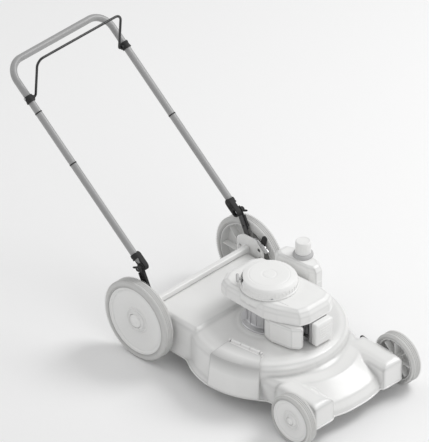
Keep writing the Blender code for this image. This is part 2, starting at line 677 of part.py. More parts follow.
def index_plate(label, pivot, lean, radius, inner, outer):
    """The fixed sector whose notches hold the lever."""
    spread = math.radians(22)
    steps = 8
    angles = [lean - spread + 2 * spread * i / steps for i in range(steps + 1)]
    corners = [(pivot.x + r * math.sin(a), pivot.y + r * math.cos(a))
               for r in (radius, radius - 0.020) for a in angles]
    plate = upright_plate(f"{label}_index_plate", BARE_STEEL, corners, inner, outer, 1)
    notches = []
    for i in range(5):
        a = lean + math.radians(-14 + 7 * i)
        at = spot(pivot.x + radius * math.sin(a), (inner + outer) / 2, pivot.y + radius * math.cos(a))
        notches.append(helper(f"{label}_notch_{i}", cylinder(0.0032, 0.02, at, "Y", 12)))
    combine(plate, notches, "DIFFERENCE")


def build_running_gear():
    """The four wheels, the axles that they turn on and the height levers."""
    rear_at = spot(0, 0, REAR_WHEEL_R)
    front_at = spot(WHEELBASE, 0, FRONT_WHEEL_R)
    for name, side in SIDES:
        wheel_set("rear", name, side, rear_at, REAR_WHEEL_R, REAR_WHEEL_WIDTH, REAR_WHEEL_INNER)
        wheel_set("front", name, side, front_at, FRONT_WHEEL_R, FRONT_WHEEL_WIDTH, FRONT_WHEEL_INNER)
    cranked_axle("rear", REAR_PIVOT, rear_at, REAR_CRANK_INNER, REAR_WHEEL_INNER, REAR_WHEEL_WIDTH)
    cranked_axle("front", FRONT_PIVOT, front_at, FRONT_CRANK_INNER, FRONT_WHEEL_INNER, FRONT_WHEEL_WIDTH)
    height_lever("rear", REAR_PIVOT, REAR_LEVER_LEAN, REAR_LEVER_REACH, REAR_LEVER_INNER)
    index_plate("rear", REAR_PIVOT, REAR_LEVER_LEAN, REAR_LEVER_REACH - 0.020, STRAP_INNER, STRAP_OUTER)
    front_lever = FRONT_CRANK_INNER + CRANK_PLATE + GAP
    height_lever("front", FRONT_PIVOT, FRONT_LEVER_LEAN, FRONT_LEVER_REACH, front_lever)


# ---------------------------------------------------------------- handle
def build_handle():
    """One U-shaped tube with flattened ends."""
    half = HANDLE_WIDTH / 2
    start = TAB_LENGTH - 0.004
    corners = [FOLD_PIVOT + HANDLE_DIRECTION * HANDLE_LENGTH + Vector((0, side * half, 0)) for side in (-1, 1)]
    feet = [FOLD_PIVOT + HANDLE_DIRECTION * start + Vector((0, side * half, 0)) for side in (-1, 1)]
    path = [feet[0]]
    path += arc_corner(feet[0], corners[0], corners[1], HANDLE_CORNER_R, 7)
    path += arc_corner(corners[0], corners[1], feet[1], HANDLE_CORNER_R, 7)
    path.append(feet[1])
    tube = wire("handle_tube", HANDLE_PAINT, path, HANDLE_TUBE_R, FOLD_PIVOT, 4)
    tabs, holes = [], []
    for name, side in SIDES:
        end = HANDLE_DIRECTION * (TAB_LENGTH + 0.004)
        at = (HANDLE_PIVOT_AHEAD, HANDLE_PIVOT_UP)
        tip = (at[0] + end.x, at[1] + end.z)
        tabs.append(upright_plate(f"tab_{name}", HANDLE_PAINT, slot_outline(at, tip, HANDLE_TUBE_R + 0.0015),
                                  half - TAB_THICKNESS / 2, half + TAB_THICKNESS / 2, side, collection=CUTTERS))
    holes.append(helper("tab_holes", cylinder(PIVOT_BOLT_R + RUNNING, THROUGH, FOLD_PIVOT, "Y", 16)))
    combine(tube, tabs, "UNION")
    combine(tube, holes, "DIFFERENCE")


def build_handle_mounts():
    """Black straps from the deck to the fold pivots, with their bolts and wing knobs."""
    foot = FOLD_PIVOT + Vector((STRAP_FOOT.x, 0, STRAP_FOOT.y))
    head_at = Vector((HANDLE_PIVOT_AHEAD, HANDLE_PIVOT_UP))
    for name, side in SIDES:
        corners = slot_outline(head_at, head_at + STRAP_FOOT, STRAP_WIDTH / 2)
        strap = upright_plate(f"handle_strap_{name}", BLACK_STEEL, corners, STRAP_INNER, STRAP_OUTER, side)
        holes = [helper(f"strap_{name}_top_hole", cylinder(PIVOT_BOLT_R + GAP, THROUGH, FOLD_PIVOT, "Y", 16)),
                 helper(f"strap_{name}_low_hole", cylinder(PIVOT_BOLT_R + GAP, THROUGH, foot, "Y", 16))]
        combine(strap, holes, "DIFFERENCE")
        cross_bolt(f"strap_bolt_{name}", BARE_STEEL, foot, side, BRACKET_OUTER - BRACKET_THICKNESS,
                   STRAP_OUTER + GAP, 0.0085, 0.0035)
        inner_head = HANDLE_WIDTH / 2 - TAB_THICKNESS / 2 - GAP
        shank_out = STRAP_OUTER + 0.016
        middle = Vector((FOLD_PIVOT.x, side * (inner_head + shank_out) / 2, FOLD_PIVOT.z))
        bolt = solid(f"pivot_bolt_{name}", BARE_STEEL,
                     cylinder(PIVOT_BOLT_R, shank_out - inner_head, middle, "Y", 16), middle)
        seat = Vector((FOLD_PIVOT.x, side * (inner_head - 0.0015), FOLD_PIVOT.z))
        head = helper(f"pivot_bolt_{name}_head", cylinder(0.0095, 0.0035, seat, "Y", 16))
        combine(bolt, [head], "UNION")
        knob_in = STRAP_OUTER + GAP
        knob_at = Vector((FOLD_PIVOT.x, side * (knob_in + 0.009), FOLD_PIVOT.z))
        knob = solid(f"wing_knob_{name}", BLACK_PLASTIC, cylinder(0.011, 0.018, knob_at, "Y", 20), knob_at)
        wings = helper(f"wing_knob_{name}_wings", hull([
            knob_at + Vector((sign * reach, side * out, thick))
            for reach, out in ((0.021, 0.012), (0.009, -0.006)) for sign in (-1, 1) for thick in (-0.0025, 0.0025)
        ]))
        combine(knob, [wings], "UNION")
        bore = helper(f"wing_knob_{name}_bore", cylinder(PIVOT_BOLT_R + GAP, THROUGH, FOLD_PIVOT, "Y", 16))
        combine(knob, [bore], "DIFFERENCE")


def build_bail():
    """The wire bail that stops the engine, and the two brackets that it pivots in."""
    arm = Vector((math.cos(BAIL_LEAN), 0, math.sin(BAIL_LEAN))) * BAIL_ARM
    half = BAIL_WIDTH / 2
    pin_out = HANDLE_WIDTH / 2 - HANDLE_TUBE_R - 0.0015
    feet = [BAIL_PIVOT + Vector((0, side * half, 0)) for side in (-1, 1)]
    tops = [foot + arm for foot in feet]
    path = [BAIL_PIVOT - Vector((0, pin_out, 0))]
    path += arc_corner(path[0], feet[0], tops[0], 0.009, 4)
    path += arc_corner(feet[0], tops[0], tops[1], BAIL_CORNER_R, 6)
    path += arc_corner(tops[0], tops[1], feet[1], BAIL_CORNER_R, 6)
    end = BAIL_PIVOT + Vector((0, pin_out, 0))
    path += arc_corner(tops[1], feet[1], end, 0.009, 4)
    path.append(end)
    wire("bail_rod", BLACK_STEEL, path, BAIL_WIRE_R, BAIL_PIVOT, 3)
    along = Matrix.Rotation(-(math.pi / 2 - HANDLE_SLOPE), 4, "Y")
    for name, side in SIDES:
        at = BAIL_PIVOT + Vector((0, side * HANDLE_WIDTH / 2, 0))
        collar = cylinder(HANDLE_TUBE_R + 0.0035, 0.026, at, tilt=along)
        clamp = solid(f"bail_bracket_{name}", BLACK_PLASTIC, collar, at)
        boss_in = half + 0.0105
        boss_out = HANDLE_WIDTH / 2 - HANDLE_TUBE_R * 0.6
        boss_at = Vector((BAIL_PIVOT.x, side * (boss_in + boss_out) / 2, BAIL_PIVOT.z))
        boss = helper(f"bail_bracket_{name}_boss", cylinder(0.0095, boss_out - boss_in, boss_at, "Y", 20))
        combine(clamp, [boss], "UNION")
        bores = [helper(f"bail_bracket_{name}_tube", cylinder(HANDLE_TUBE_R + GAP, 0.1, at, tilt=along, steps=24)),
                 helper(f"bail_bracket_{name}_pin", cylinder(BAIL_WIRE_R + RUNNING, 0.06,
                        Vector((BAIL_PIVOT.x, side * (half + 0.012), BAIL_PIVOT.z)), "Y", 20))]
        combine(clamp, bores, "DIFFERENCE")


# ---------------------------------------------------------------- engine
def shroud_outline():
    """The engine cover seen from above, as (ahead, left) corners."""
    return [(0.195, -0.050), (0.215, -0.088), (0.250, -0.101), (0.430, -0.101), (0.480, -0.084), (0.553, -0.046),
            (0.565, -0.010), (0.565, 0.085), (0.548, 0.118), (0.500, 0.128), (0.290, 0.110), (0.215, 0.105),
            (0.195, 0.070)]


def shroud_body(inset, bottom):
    """The engine cover's body with eased upper edges, shrunk by inset."""
    plan = shroud_outline()
    return hull(
        outline(plan, bottom, inset) + outline(plan, SHROUD_SIDE - inset, inset)
        + outline(plan, SHROUD_TOP - 0.006 - inset, inset + 0.010)
        + outline(plan, SHROUD_TOP - inset, inset + 0.024)
    )


def build_engine():
    """The engine with everything that turns with it, its covers and its fittings."""
    top = Vector((0, 0, 1))
    base_up = HOUSING_TOP + GAP
    block_mid = SPINDLE + top * (base_up + BLOCK_TOP) / 2
    engine = solid("engine_block", CAST_ALLOY, cylinder(BLOCK_R, BLOCK_TOP - base_up, block_mid, steps=32))
    barrel_up = 0.240
    barrel_at = spot(SPINDLE_AHEAD + 0.095, 0.012, barrel_up)
    adds = [helper("engine_base", cylinder(0.098, 0.012, SPINDLE + top * (base_up + 0.006), steps=32)),
            helper("engine_barrel", cylinder(0.030, 0.120, barrel_at, "X", 24))]
    for i in range(5):
        fin_at = spot(SPINDLE_AHEAD + 0.100 + 0.010 * i, 0.012, barrel_up)
        adds.append(helper(f"engine_fin_{i}", block((0.003, 0.088, 0.084), fin_at)))
    combine(engine, adds, "UNION")
    cuts = [helper("crank_bore", cylinder(CRANK_R + RUNNING, 0.3, SPINDLE + top * 0.24, steps=24))]
    combine(engine, cuts, "DIFFERENCE")

    head_at = spot(SPINDLE_AHEAD + 0.155 + 0.013 + GAP, 0.012, barrel_up)
    solid("cylinder_head", CAST_ALLOY, block((0.026, 0.090, 0.086), head_at), head_at)
    plug_at = head_at + Vector((0.013 + GAP + 0.014, -0.034, 0))
    solid("spark_plug", BARE_STEEL, cylinder(0.0065, 0.028, plug_at, "X", 12), plug_at)

    # crankshaft, flywheel, blade and what clamps it
    crank_low = BLADE_UP + BLADE_THICKNESS + GAP
    crank_high = FLYWHEEL_BOTTOM - GAP
    solid("crankshaft", BARE_STEEL,
          cylinder(CRANK_R, crank_high - crank_low, SPINDLE + top * (crank_high + crank_low) / 2), SPINDLE)
    lathe("flywheel", CAST_ALLOY, [
        (0, 0.016), (0.020, 0.016), (0.020, 0.010), (FLYWHEEL_R - 0.010, 0.010), (FLYWHEEL_R - 0.010, 0.022),
        (FLYWHEEL_R, 0.022), (FLYWHEEL_R, 0), (0, 0)], SPINDLE + top * FLYWHEEL_BOTTOM, closed=False)
    blade_r = HOUSING_R - WALL - BLADE_TIP_CLEARANCE
    half_w = BLADE_WIDTH / 2
    blade = solid("blade", BARE_STEEL, block((2 * blade_r * 0.985, BLADE_WIDTH, BLADE_THICKNESS),
                                            SPINDLE + top * (BLADE_UP + BLADE_THICKNESS / 2)), SPINDLE)
    wings = []
    for sign in (-1, 1):
        section = [(-half_w + 0.001, BLADE_UP), (-half_w + 0.012, BLADE_UP),
                   (-half_w + 0.001, BLADE_UP + 0.018), (-half_w + 0.004, BLADE_UP + 0.018)]
        lift = [SPINDLE + Vector((sign * x, sign * y, z))
                for x in (blade_r * 0.70, blade_r * 0.975) for y, z in section]
        wings.append(helper(f"blade_wing_{sign + 2}", hull(lift)))
    combine(blade, wings, "UNION")
    adapter_r = 0.030
    lathe("blade_adapter", CAST_ALLOY, [
        (CRANK_R + GAP, 0.030), (0.020, 0.030), (0.020, 0.008), (adapter_r, 0.006), (adapter_r, 0),
        (CRANK_R + GAP, 0)], SPINDLE + top * (BLADE_UP + BLADE_THICKNESS + GAP))
    bolt_at = SPINDLE + top * (BLADE_UP - GAP - 0.0035)
    solid("blade_bolt", BARE_STEEL, cylinder(0.0095, 0.007, bolt_at, steps=6), SPINDLE, smooth=False)

    # covers
    shroud = solid("engine_shroud", WHITE_PLASTIC, shroud_body(0, SHROUD_BOTTOM))
    mouth_r = RECOIL_R - 0.012
    mouth = helper("shroud_mouth", cylinder(mouth_r, 0.06, SPINDLE + top * SHROUD_TOP, steps=40))
    combine(shroud, [helper("shroud_hollow", shroud_body(SHROUD_WALL, SHROUD_BOTTOM - 0.01)), mouth],
            "DIFFERENCE")
    cover_low = SHROUD_TOP + GAP
    h = RECOIL_TOP - cover_low
    w = SHROUD_WALL
    recoil = lathe("recoil_cover", WHITE_PLASTIC, [
        (0.012, h), (RECOIL_R * 0.72, h), (RECOIL_R * 0.93, h - 0.007), (RECOIL_R, h - 0.018), (RECOIL_R, 0),
        (RECOIL_R - w, 0), (RECOIL_R - w, h - 0.019), (RECOIL_R * 0.93 - w, h - 0.008 - w),
        (RECOIL_R * 0.72, h - w), (0.012, h - w)], SPINDLE + top * cover_low, steps=32)
    slot_at = grip_place()
    tilt = grip_axis().to_track_quat("X", "Z").to_matrix().to_4x4()
    slot = helper("grip_slot", block((0.060, 0.030, 0.018), slot_at + grip_axis() * 0.012, tilt))
    combine(recoil, [slot], "DIFFERENCE")
    lathe("recoil_pulley", BLACK_PLASTIC, [
        (0.0065, 0.012), (0.046, 0.012), (0.046, 0.010), (0.040, 0.008), (0.040, 0.004), (0.046, 0.002),
        (0.046, 0), (0.0065, 0)], SPINDLE + top * (FLYWHEEL_BOTTOM + 0.026), steps=32)
    build_grip()
    build_tank()
    build_front_of_engine()


def grip_axis():
    """The way that the starter grip is pulled: to the rear and to the right, and up."""
    return Vector((-0.62, -0.66, 0.42)).normalized()


def grip_place():
    """Where the starter grip rests against the cover."""
    return SPINDLE + Vector((-0.061, -0.066, 0.364))


def build_grip():
    """The starter's T grip with a stub of its rope."""
    at = grip_place()
    tilt = grip_axis().to_track_quat("Z", "Y").to_matrix().to_4x4()
    neck = cylinder(0.0055, 0.016, at + grip_axis() * 0.012, tilt=tilt, steps=12)
    grip = solid("starter_grip", GREY_PLASTIC, neck, at)
    bar = helper("starter_grip_bar", hull([
        at + grip_axis() * 0.020 + tilt @ Vector((x, y, z)) for x in (-0.022, 0.022) for y in (-0.0055, 0.0055)
        for z in (-0.003, 0.006)]))
    rope = helper("starter_rope_stub", cylinder(0.0022, 0.060, at - grip_axis() * 0.023, tilt=tilt, steps=8))
    combine(grip, [bar, rope], "UNION")


def build_tank():
    """The fuel tank on the operator's left, with its neck, cap and the oil filler beside it."""
    low = [(0.255, 0.132), (0.275, 0.120), (0.415, 0.134), (0.440, 0.146), (0.440, 0.176), (0.415, 0.196),
           (0.285, 0.196), (0.255, 0.178)]
    tank = solid("fuel_tank", WHITE_PLASTIC, hull(
        outline(low, 0.262, 0.010) + outline(low, 0.272) + outline(low, 0.352) + outline(low, 0.366, 0.008)
        + outline(low, 0.372, 0.020)))
    neck_at = spot(CAP_AT.x, CAP_AT.y, 0)
    neck_r = CAP_R - 0.006
    neck_top = CAP_TOP - 0.012
    neck_middle = neck_at + Vector((0, 0, (neck_top + 0.350) / 2))
    neck = helper("tank_neck", cylinder(neck_r, neck_top - 0.350, neck_middle))
    combine(tank, [neck], "UNION")
    mouth = helper("tank_mouth", cylinder(neck_r - 0.003, 0.14, neck_at + Vector((0, 0, neck_top + 0.01))))
    combine(tank, [mouth], "DIFFERENCE")
    cap_low = 0.386
    lathe("fuel_cap", WHITE_PLASTIC, [
        (0, CAP_TOP), (CAP_R - 0.006, CAP_TOP), (CAP_R, CAP_TOP - 0.006), (CAP_R, cap_low),
        (neck_r + RUNNING, cap_low), (neck_r + RUNNING, neck_top + GAP), (0, neck_top + GAP)],
        neck_at, closed=False, steps=32)
    collar_r = 0.036
    lathe("filler_collar", GREY_PLASTIC, [
        (neck_r + GAP, cap_low - GAP), (collar_r - 0.006, cap_low - GAP), (collar_r, 0.379), (collar_r, 0.3725),
        (neck_r + GAP, 0.3725)], neck_at, steps=32)
    oil_at = spot(SPINDLE_AHEAD - 0.060, 0.102, 0)
    tube_low, tube_high = 0.2065, 0.262
    pipe = solid("oil_filler", GREY_PLASTIC, cylinder(0.011, tube_high - tube_low,
                 oil_at + Vector((0, 0, (tube_low + tube_high) / 2)), steps=20))
    bore = helper("oil_filler_bore", cylinder(0.008, 0.1, oil_at + Vector((0, 0, tube_high)), steps=20))
    combine(pipe, [bore], "DIFFERENCE")
    lathe("oil_cap", GREY_PLASTIC, [
        (0, 0.276), (0.014, 0.276), (0.016, 0.272), (0.016, tube_high + GAP), (0.0075, tube_high + GAP),
        (0.0075, 0.252), (0, 0.252)], oil_at, closed=False, steps=20)


def build_front_of_engine():
    """The exhaust on the right and the air cleaner in front, both under the shroud's edge."""
    low = [(0.425, -0.090), (0.455, -0.096), (0.545, -0.078), (0.572, -0.052), (0.560, -0.036), (0.440, -0.046)]
    muffler_top = SHROUD_BOTTOM - 0.003
    solid("muffler", BARE_STEEL, hull(
        outline(low, 0.196, 0.014) + outline(low, 0.210) + outline(low, muffler_top - 0.008)
        + outline(low, muffler_top, 0.008)))
    centre = spot(0.5800, 0.034, 0.2425)
    back = centre - Vector((0.0205, 0, 0))
    base = solid("air_cleaner_base", GREY_PLASTIC, block((0.012, 0.078, 0.084), back), centre)
    rounded(base, 0.003)
    cover = solid("air_cleaner_cover", WHITE_PLASTIC, block((0.028, 0.082, 0.088), centre), centre)
    rounded(cover, 0.008, 3)


def build_rear_bar():
    """The bar across the back of the deck that ties the two brackets together."""
    at = spot(REAR_BOX_BACK + 0.004, 0, 0.2115)
    half = BRACKET_OUTER - BRACKET_THICKNESS - GAP
    bar = solid("rear_tie_bar", DECK_PAINT, block((0.022, 2 * half, 0.0215), at), at)
    rounded(bar, 0.005, 2)


build_deck()
build_rear_box()
build_rear_brackets()
build_rear_flap()
build_door()
build_running_gear()
build_handle()
build_handle_mounts()
build_bail()
build_engine()
build_rear_bar()
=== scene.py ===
"""Looks of a walk-behind rotary lawn mower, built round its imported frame.

Every sub-assembly is a class that takes its places from the frame, makes its meshes and dresses them.
Lengths are metres, +X is forwards, +Y is the operator's left and +Z is up.
"""

import logging
import math
from dataclasses import dataclass, field
from enum import Enum
from typing import Callable, Optional, Sequence

import bmesh
import bpy
import numpy as np
from mathutils import Matrix, Vector


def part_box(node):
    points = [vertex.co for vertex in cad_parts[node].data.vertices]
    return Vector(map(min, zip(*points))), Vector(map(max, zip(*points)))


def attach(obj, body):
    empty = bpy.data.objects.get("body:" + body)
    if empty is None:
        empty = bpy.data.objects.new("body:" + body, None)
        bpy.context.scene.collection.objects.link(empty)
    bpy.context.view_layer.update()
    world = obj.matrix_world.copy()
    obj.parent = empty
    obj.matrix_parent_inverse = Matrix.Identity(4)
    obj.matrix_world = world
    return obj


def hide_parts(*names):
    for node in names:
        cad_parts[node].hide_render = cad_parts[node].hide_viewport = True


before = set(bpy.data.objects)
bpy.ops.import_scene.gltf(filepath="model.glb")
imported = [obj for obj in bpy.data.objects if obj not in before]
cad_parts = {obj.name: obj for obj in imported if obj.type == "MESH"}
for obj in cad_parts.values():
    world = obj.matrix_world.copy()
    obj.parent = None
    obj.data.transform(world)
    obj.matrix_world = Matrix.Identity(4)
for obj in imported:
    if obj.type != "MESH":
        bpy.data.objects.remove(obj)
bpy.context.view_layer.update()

LOG = logging.getLogger("mower")
Profile = list[tuple[float, float]]


# ------------------------------------------------------------------------------------------ shaders
class Term:
    """A shader socket that takes part in Python sums and products."""

    def __init__(self, graph: "ShaderGraph", socket: bpy.types.NodeSocket) -> None:
        """Wraps a socket of a graph."""
        self.graph = graph
        self.socket = socket

    def __add__(self, other: "Term | float") -> "Term":
        """Sum."""
        return self.graph.maths("ADD", self, other)

    __radd__ = __add__

    def __mul__(self, other: "Term | float") -> "Term":
        """Product."""
        return self.graph.maths("MULTIPLY", self, other)

    __rmul__ = __mul__

    def __sub__(self, other: "Term | float") -> "Term":
        """Difference."""
        return self.graph.maths("SUBTRACT", self, other)

    def __rsub__(self, other: "Term | float") -> "Term":
        """Difference with the term on the right."""
        return self.graph.maths("SUBTRACT", other, self)


class ShaderGraph:
    """A material's node tree, with one method for every node that isn't plain arithmetic."""

    def __init__(self, name: str) -> None:
        """Starts a material with its Principled shader."""
        self.material = bpy.data.materials.new(name)
        self.material.use_nodes = True
        self.tree = self.material.node_tree
        self.shader = self.tree.nodes["Principled BSDF"]
        self.place = self.node("ShaderNodeTexCoord").outputs["Object"]

    def node(self, kind: str, settings: Optional[dict] = None,
             inputs: Optional[dict] = None) -> bpy.types.Node:
        """Adds a node.

        Args:
            kind: the node's type.
            settings: properties to set first.
            inputs: values, sockets or terms by socket name or index.

        Returns:
            The node.
        """
        made = self.tree.nodes.new(kind)
        for key, value in (settings or {}).items():
            setattr(made, key, value)
        for key, value in (inputs or {}).items():
            if isinstance(value, Term):
                value = value.socket
            if isinstance(value, bpy.types.NodeSocket):
                self.tree.links.new(value, made.inputs[key])
            else:
                made.inputs[key].default_value = value
        return made

    def maths(self, operation: str, *terms: "Term | float") -> Term:
        """A Math node on terms and numbers."""
        made = self.node("ShaderNodeMath", {"operation": operation}, dict(enumerate(terms)))
        return Term(self, made.outputs[0])

    def noise(self, scale: float, detail: float = 3.0, roughness: float = 0.55,
              stretch: tuple[float, float, float] = (1, 1, 1)) -> Term:
        """Noise over the piece in object space; stretch scales each axis."""
        place = self.place
        if stretch != (1, 1, 1):
            place = self.node("ShaderNodeMapping", None, {"Vector": place, "Scale": stretch}).outputs[0]
        inputs = {"Vector": place, "Scale": scale, "Detail": detail, "Roughness": roughness}
        return Term(self, self.node("ShaderNodeTexNoise", None, inputs).outputs["Fac"])

    def band(self, term: Term, low: float, high: float) -> Term:
        """The term's range from low to high, stretched to 0..1 and clamped."""
        settings = {"interpolation_type": "SMOOTHSTEP"}
        made = self.node("ShaderNodeMapRange", settings, {"Value": term, "From Min": low, "From Max": high})
        return Term(self, made.outputs["Result"])

    def attribute(self, name: str) -> Term:
        """A number stored on the piece's points."""
        return Term(self, self.node("ShaderNodeAttribute", {"attribute_name": name}).outputs["Fac"])

    def tint(self, factor: Term, first: object, second: object) -> bpy.types.NodeSocket:
        """A colour that goes from first to second with the factor."""
        made = self.node("ShaderNodeMix", {"data_type": "RGBA"}, {0: factor, 6: first, 7: second})
        return made.outputs[2]

    def bump(self, height: Term, strength: float, distance: float,
             under: Optional[bpy.types.NodeSocket] = None) -> bpy.types.NodeSocket:
        """A bump from a height, on top of another where one is given."""
        inputs = {"Height": height, "Strength": strength, "Distance": distance}
        if under is not None:
            inputs["Normal"] = under
        return self.node("ShaderNodeBump", None, inputs).outputs[0]

    def drive(self, **links: object) -> None:
        """Feeds the Principled shader; underscores in a name stand for spaces."""
        for key, value in links.items():
            socket = self.shader.inputs[key.replace("_", " ")]
            if isinstance(value, Term):
                value = value.socket
            if isinstance(value, bpy.types.NodeSocket):
                self.tree.links.new(value, socket)
            else:
                socket.default_value = value


Colour = tuple[float, float, float]


def rgba(colour: Colour, shade: float = 1.0) -> tuple[float, float, float, float]:
    """The colour with alpha, made darker or lighter by shade."""
    return (min(1.0, colour[0] * shade), min(1.0, colour[1] * shade), min(1.0, colour[2] * shade), 1.0)


@dataclass(frozen=True)
class Finish:
    """What every finish shares: a name, a colour and how rough it is."""

    name: str
    colour: Colour
    roughness: float

    def build(self) -> bpy.types.Material:
        """Makes the material."""
        graph = ShaderGraph(self.name)
        self.dress(graph)
        return graph.material

    def dress(self, graph: ShaderGraph) -> None:
        """Fills in the graph."""
        graph.drive(Base_Color=rgba(self.colour), Roughness=self.roughness)


@dataclass(frozen=True)
class Enamel(Finish):
    """Sprayed paint on pressed steel: slight orange peel, faint grime and painted shade along edges and
    creases.
    """

    coat: float = 0.35
    peel: float = 0.12
    # seam sets how much painted shade darkens the edges and creases.
    seam: float = 0.75
    metallic: float = 0.0

    def dress(self, graph: ShaderGraph) -> None:
        """Paint colour with grime in patches, painted shade along edges and creases, and orange peel in the
        clear coat.
        """
        patches = graph.band(graph.noise(7.0, 5.0, 0.6), 0.42, 0.74)
        specks = graph.band(graph.noise(160.0, 2.0, 0.5), 0.66, 0.80)
        grime = patches * 0.10 + specks * 0.10
        base = graph.tint(grime, rgba(self.colour), rgba(self.colour, 0.72))
        # Painted shade: the colour goes darker along edges and creases, following the 'edge' attribute.
        edges = graph.attribute("edge") * self.seam
        base = graph.tint(edges, base, rgba(self.colour, 0.42))
        rough = self.roughness + patches * 0.14 + edges * 0.2
        peel = graph.bump(graph.noise(420.0, 2.0, 0.5), self.peel, 0.0006)
        waves = graph.bump(graph.noise(22.0, 2.0, 0.5), 0.10, 0.002, peel)
        graph.drive(Base_Color=base, Roughness=rough, Metallic=self.metallic, Normal=waves,
                    Coat_Weight=self.coat,
                    Coat_Roughness=0.18)


@dataclass(frozen=True)
class Plastic(Finish):
    """Moulded plastic: fine spark texture, flow marks and scuffs."""

    grain: float = 0.25
    # seam sets how much painted shade darkens the edges and creases.
    seam: float = 0.70

    def dress(self, graph: ShaderGraph) -> None:
        """Colour with long faint flow marks, painted shade along edges and creases, scuffs in the roughness
        and a fine grain in the surface.
        """
        flow = graph.noise(9.0, 4.0, 0.6, (1.0, 2.6, 1.0))
        scuffs = graph.band(graph.noise(75.0, 3.0, 0.65, (1.0, 5.0, 2.0)), 0.60, 0.78)
        base = graph.tint(flow * 0.22 + scuffs * 0.12, rgba(self.colour, 1.03), rgba(self.colour, 0.78))
        # Painted shade: the colour goes darker along edges and creases, following the 'edge' attribute.
        edges = graph.attribute("edge") * self.seam
        base = graph.tint(edges, base, rgba(self.colour, 0.42))
        rough = self.roughness + flow * 0.12 - 0.06 + scuffs * 0.12
        grain = graph.bump(graph.noise(900.0, 2.0, 0.5), self.grain, 0.0003)
        graph.drive(Base_Color=base, Roughness=rough, Normal=grain)


@dataclass(frozen=True)
class Rubber(Finish):
    """Dull moulded rubber with dust in its pores."""

    dust: float = 0.25
    # seam sets how much painted shade darkens the moulded rings and edges.
    seam: float = 0.6

    def dress(self, graph: ShaderGraph) -> None:
        """Dusty patches, dark pores, painted shade along the moulded rings and edges, and a matt, slightly
        uneven skin.
        """
        dusty = graph.band(graph.noise(28.0, 5.0, 0.65), 0.45, 0.75)
        pores = graph.band(graph.noise(420.0, 2.0, 0.5), 0.58, 0.72)
        base = graph.tint(dusty * self.dust, rgba(self.colour), (0.60, 0.58, 0.54, 1))
        base = graph.tint(pores * 0.25, base, rgba(self.colour, 0.6))
        # Painted shade: the colour goes darker along rings and edges, following the 'edge' attribute.
        base = graph.tint(graph.attribute("edge") * self.seam, base, rgba(self.colour, 0.30))
        skin = graph.bump(graph.noise(260.0, 4.0, 0.6), 0.35, 0.0006)
        graph.drive(Base_Color=base, Roughness=self.roughness + dusty * 0.12, Normal=skin)


@dataclass(frozen=True)
class Metal(Finish):
    """Bare or plated metal with fine brushing, or the pitted skin of a casting."""

    brushed: tuple[float, float, float] = (1, 1, 12)
    pitted: float = 0.0

    def dress(self, graph: ShaderGraph) -> None:
        """Streaks in the roughness and in the surface, spots of oxide, and pits where it is cast."""
        streaks = graph.noise(180.0, 3.0, 0.6, self.brushed)
        oxide = graph.band(graph.noise(40.0, 5.0, 0.65), 0.56, 0.80)
        base = graph.tint(oxide * 0.35 + streaks * 0.15, rgba(self.colour), rgba(self.colour, 0.62))
        height = streaks * 0.4 + graph.noise(520.0, 3.0, 0.6) * self.pitted
        normal = graph.bump(height, 0.3, 0.0005)
        graph.drive(Base_Color=base, Roughness=self.roughness + streaks * 0.16 + oxide * 0.2, Normal=normal,
                    Metallic=1.0 - oxide * 0.35)


@dataclass(frozen=True)
class Ground(Finish):
    """The plain pale floor."""


class Look(Enum):
    """The finishes of this mower."""

    # seam in each finish sets how much painted shade darkens its edges and creases; the black finishes have
    # none.
    DECK = Enamel("deck_enamel", (0.86, 0.86, 0.85), 0.30, coat=0.4)
    SHROUD = Plastic("white_cover_plastic", (0.88, 0.88, 0.87), 0.36)
    HANDLE = Enamel("grey_powder_coat", (0.36, 0.36, 0.36), 0.40, coat=0.15, peel=0.35)
    BLACK_PAINT = Enamel("black_powder_coat", (0.016, 0.016, 0.017), 0.38, coat=0.2, peel=0.3, seam=0.0)
    BLACK_PLASTIC = Plastic("black_plastic", (0.022, 0.022, 0.023), 0.46, grain=0.5, seam=0.0)
    GREY_PLASTIC = Plastic("grey_plastic", (0.50, 0.50, 0.50), 0.46, grain=0.4)
    TYRE = Rubber("pale_tyre_rubber", (0.66, 0.66, 0.65), 0.72)
    WHEEL = Plastic("white_wheel_plastic", (0.87, 0.87, 0.86), 0.40)
    FLAP = Rubber("flap_rubber", (0.30, 0.30, 0.30), 0.78)
    STEEL = Metal("zinc_plated_steel", (0.66, 0.66, 0.67), 0.26)
    BLADE = Metal("ground_blade_steel", (0.50, 0.50, 0.51), 0.30, brushed=(1, 14, 1))
    ALLOY = Metal("cast_alloy", (0.66, 0.66, 0.67), 0.42, brushed=(1, 1, 1), pitted=0.8)
    FLOOR = Ground("floor", (0.93, 0.93, 0.93), 0.8)

    def material(self) -> bpy.types.Material:
        """The finish's material, made once."""
        return bpy.data.materials.get(self.value.name) or self.value.build()


# ------------------------------------------------------------------------------------------- meshes
def polished(obj: bpy.types.Object, angle: float = 34.0) -> bpy.types.Object:
    """Shades a mesh smooth but for edges sharper than the angle, in degrees."""
    obj.data.shade_smooth()
    obj.data.set_sharp_from_angle(angle=math.radians(angle))
    return obj


def from_bmesh(name: str, bm: bmesh.types.BMesh, angle: float = 34.0,
               outward: bool = True) -> bpy.types.Object:
    """Turns a bmesh into a linked object with its faces pointing out."""
    if outward:
        bmesh.ops.recalc_face_normals(bm, faces=bm.faces)
    mesh = bpy.data.meshes.new(name)
    bm.to_mesh(mesh)
    bm.free()
    obj = bpy.data.objects.new(name, mesh)
    bpy.context.scene.collection.objects.link(obj)
    return polished(obj, angle)


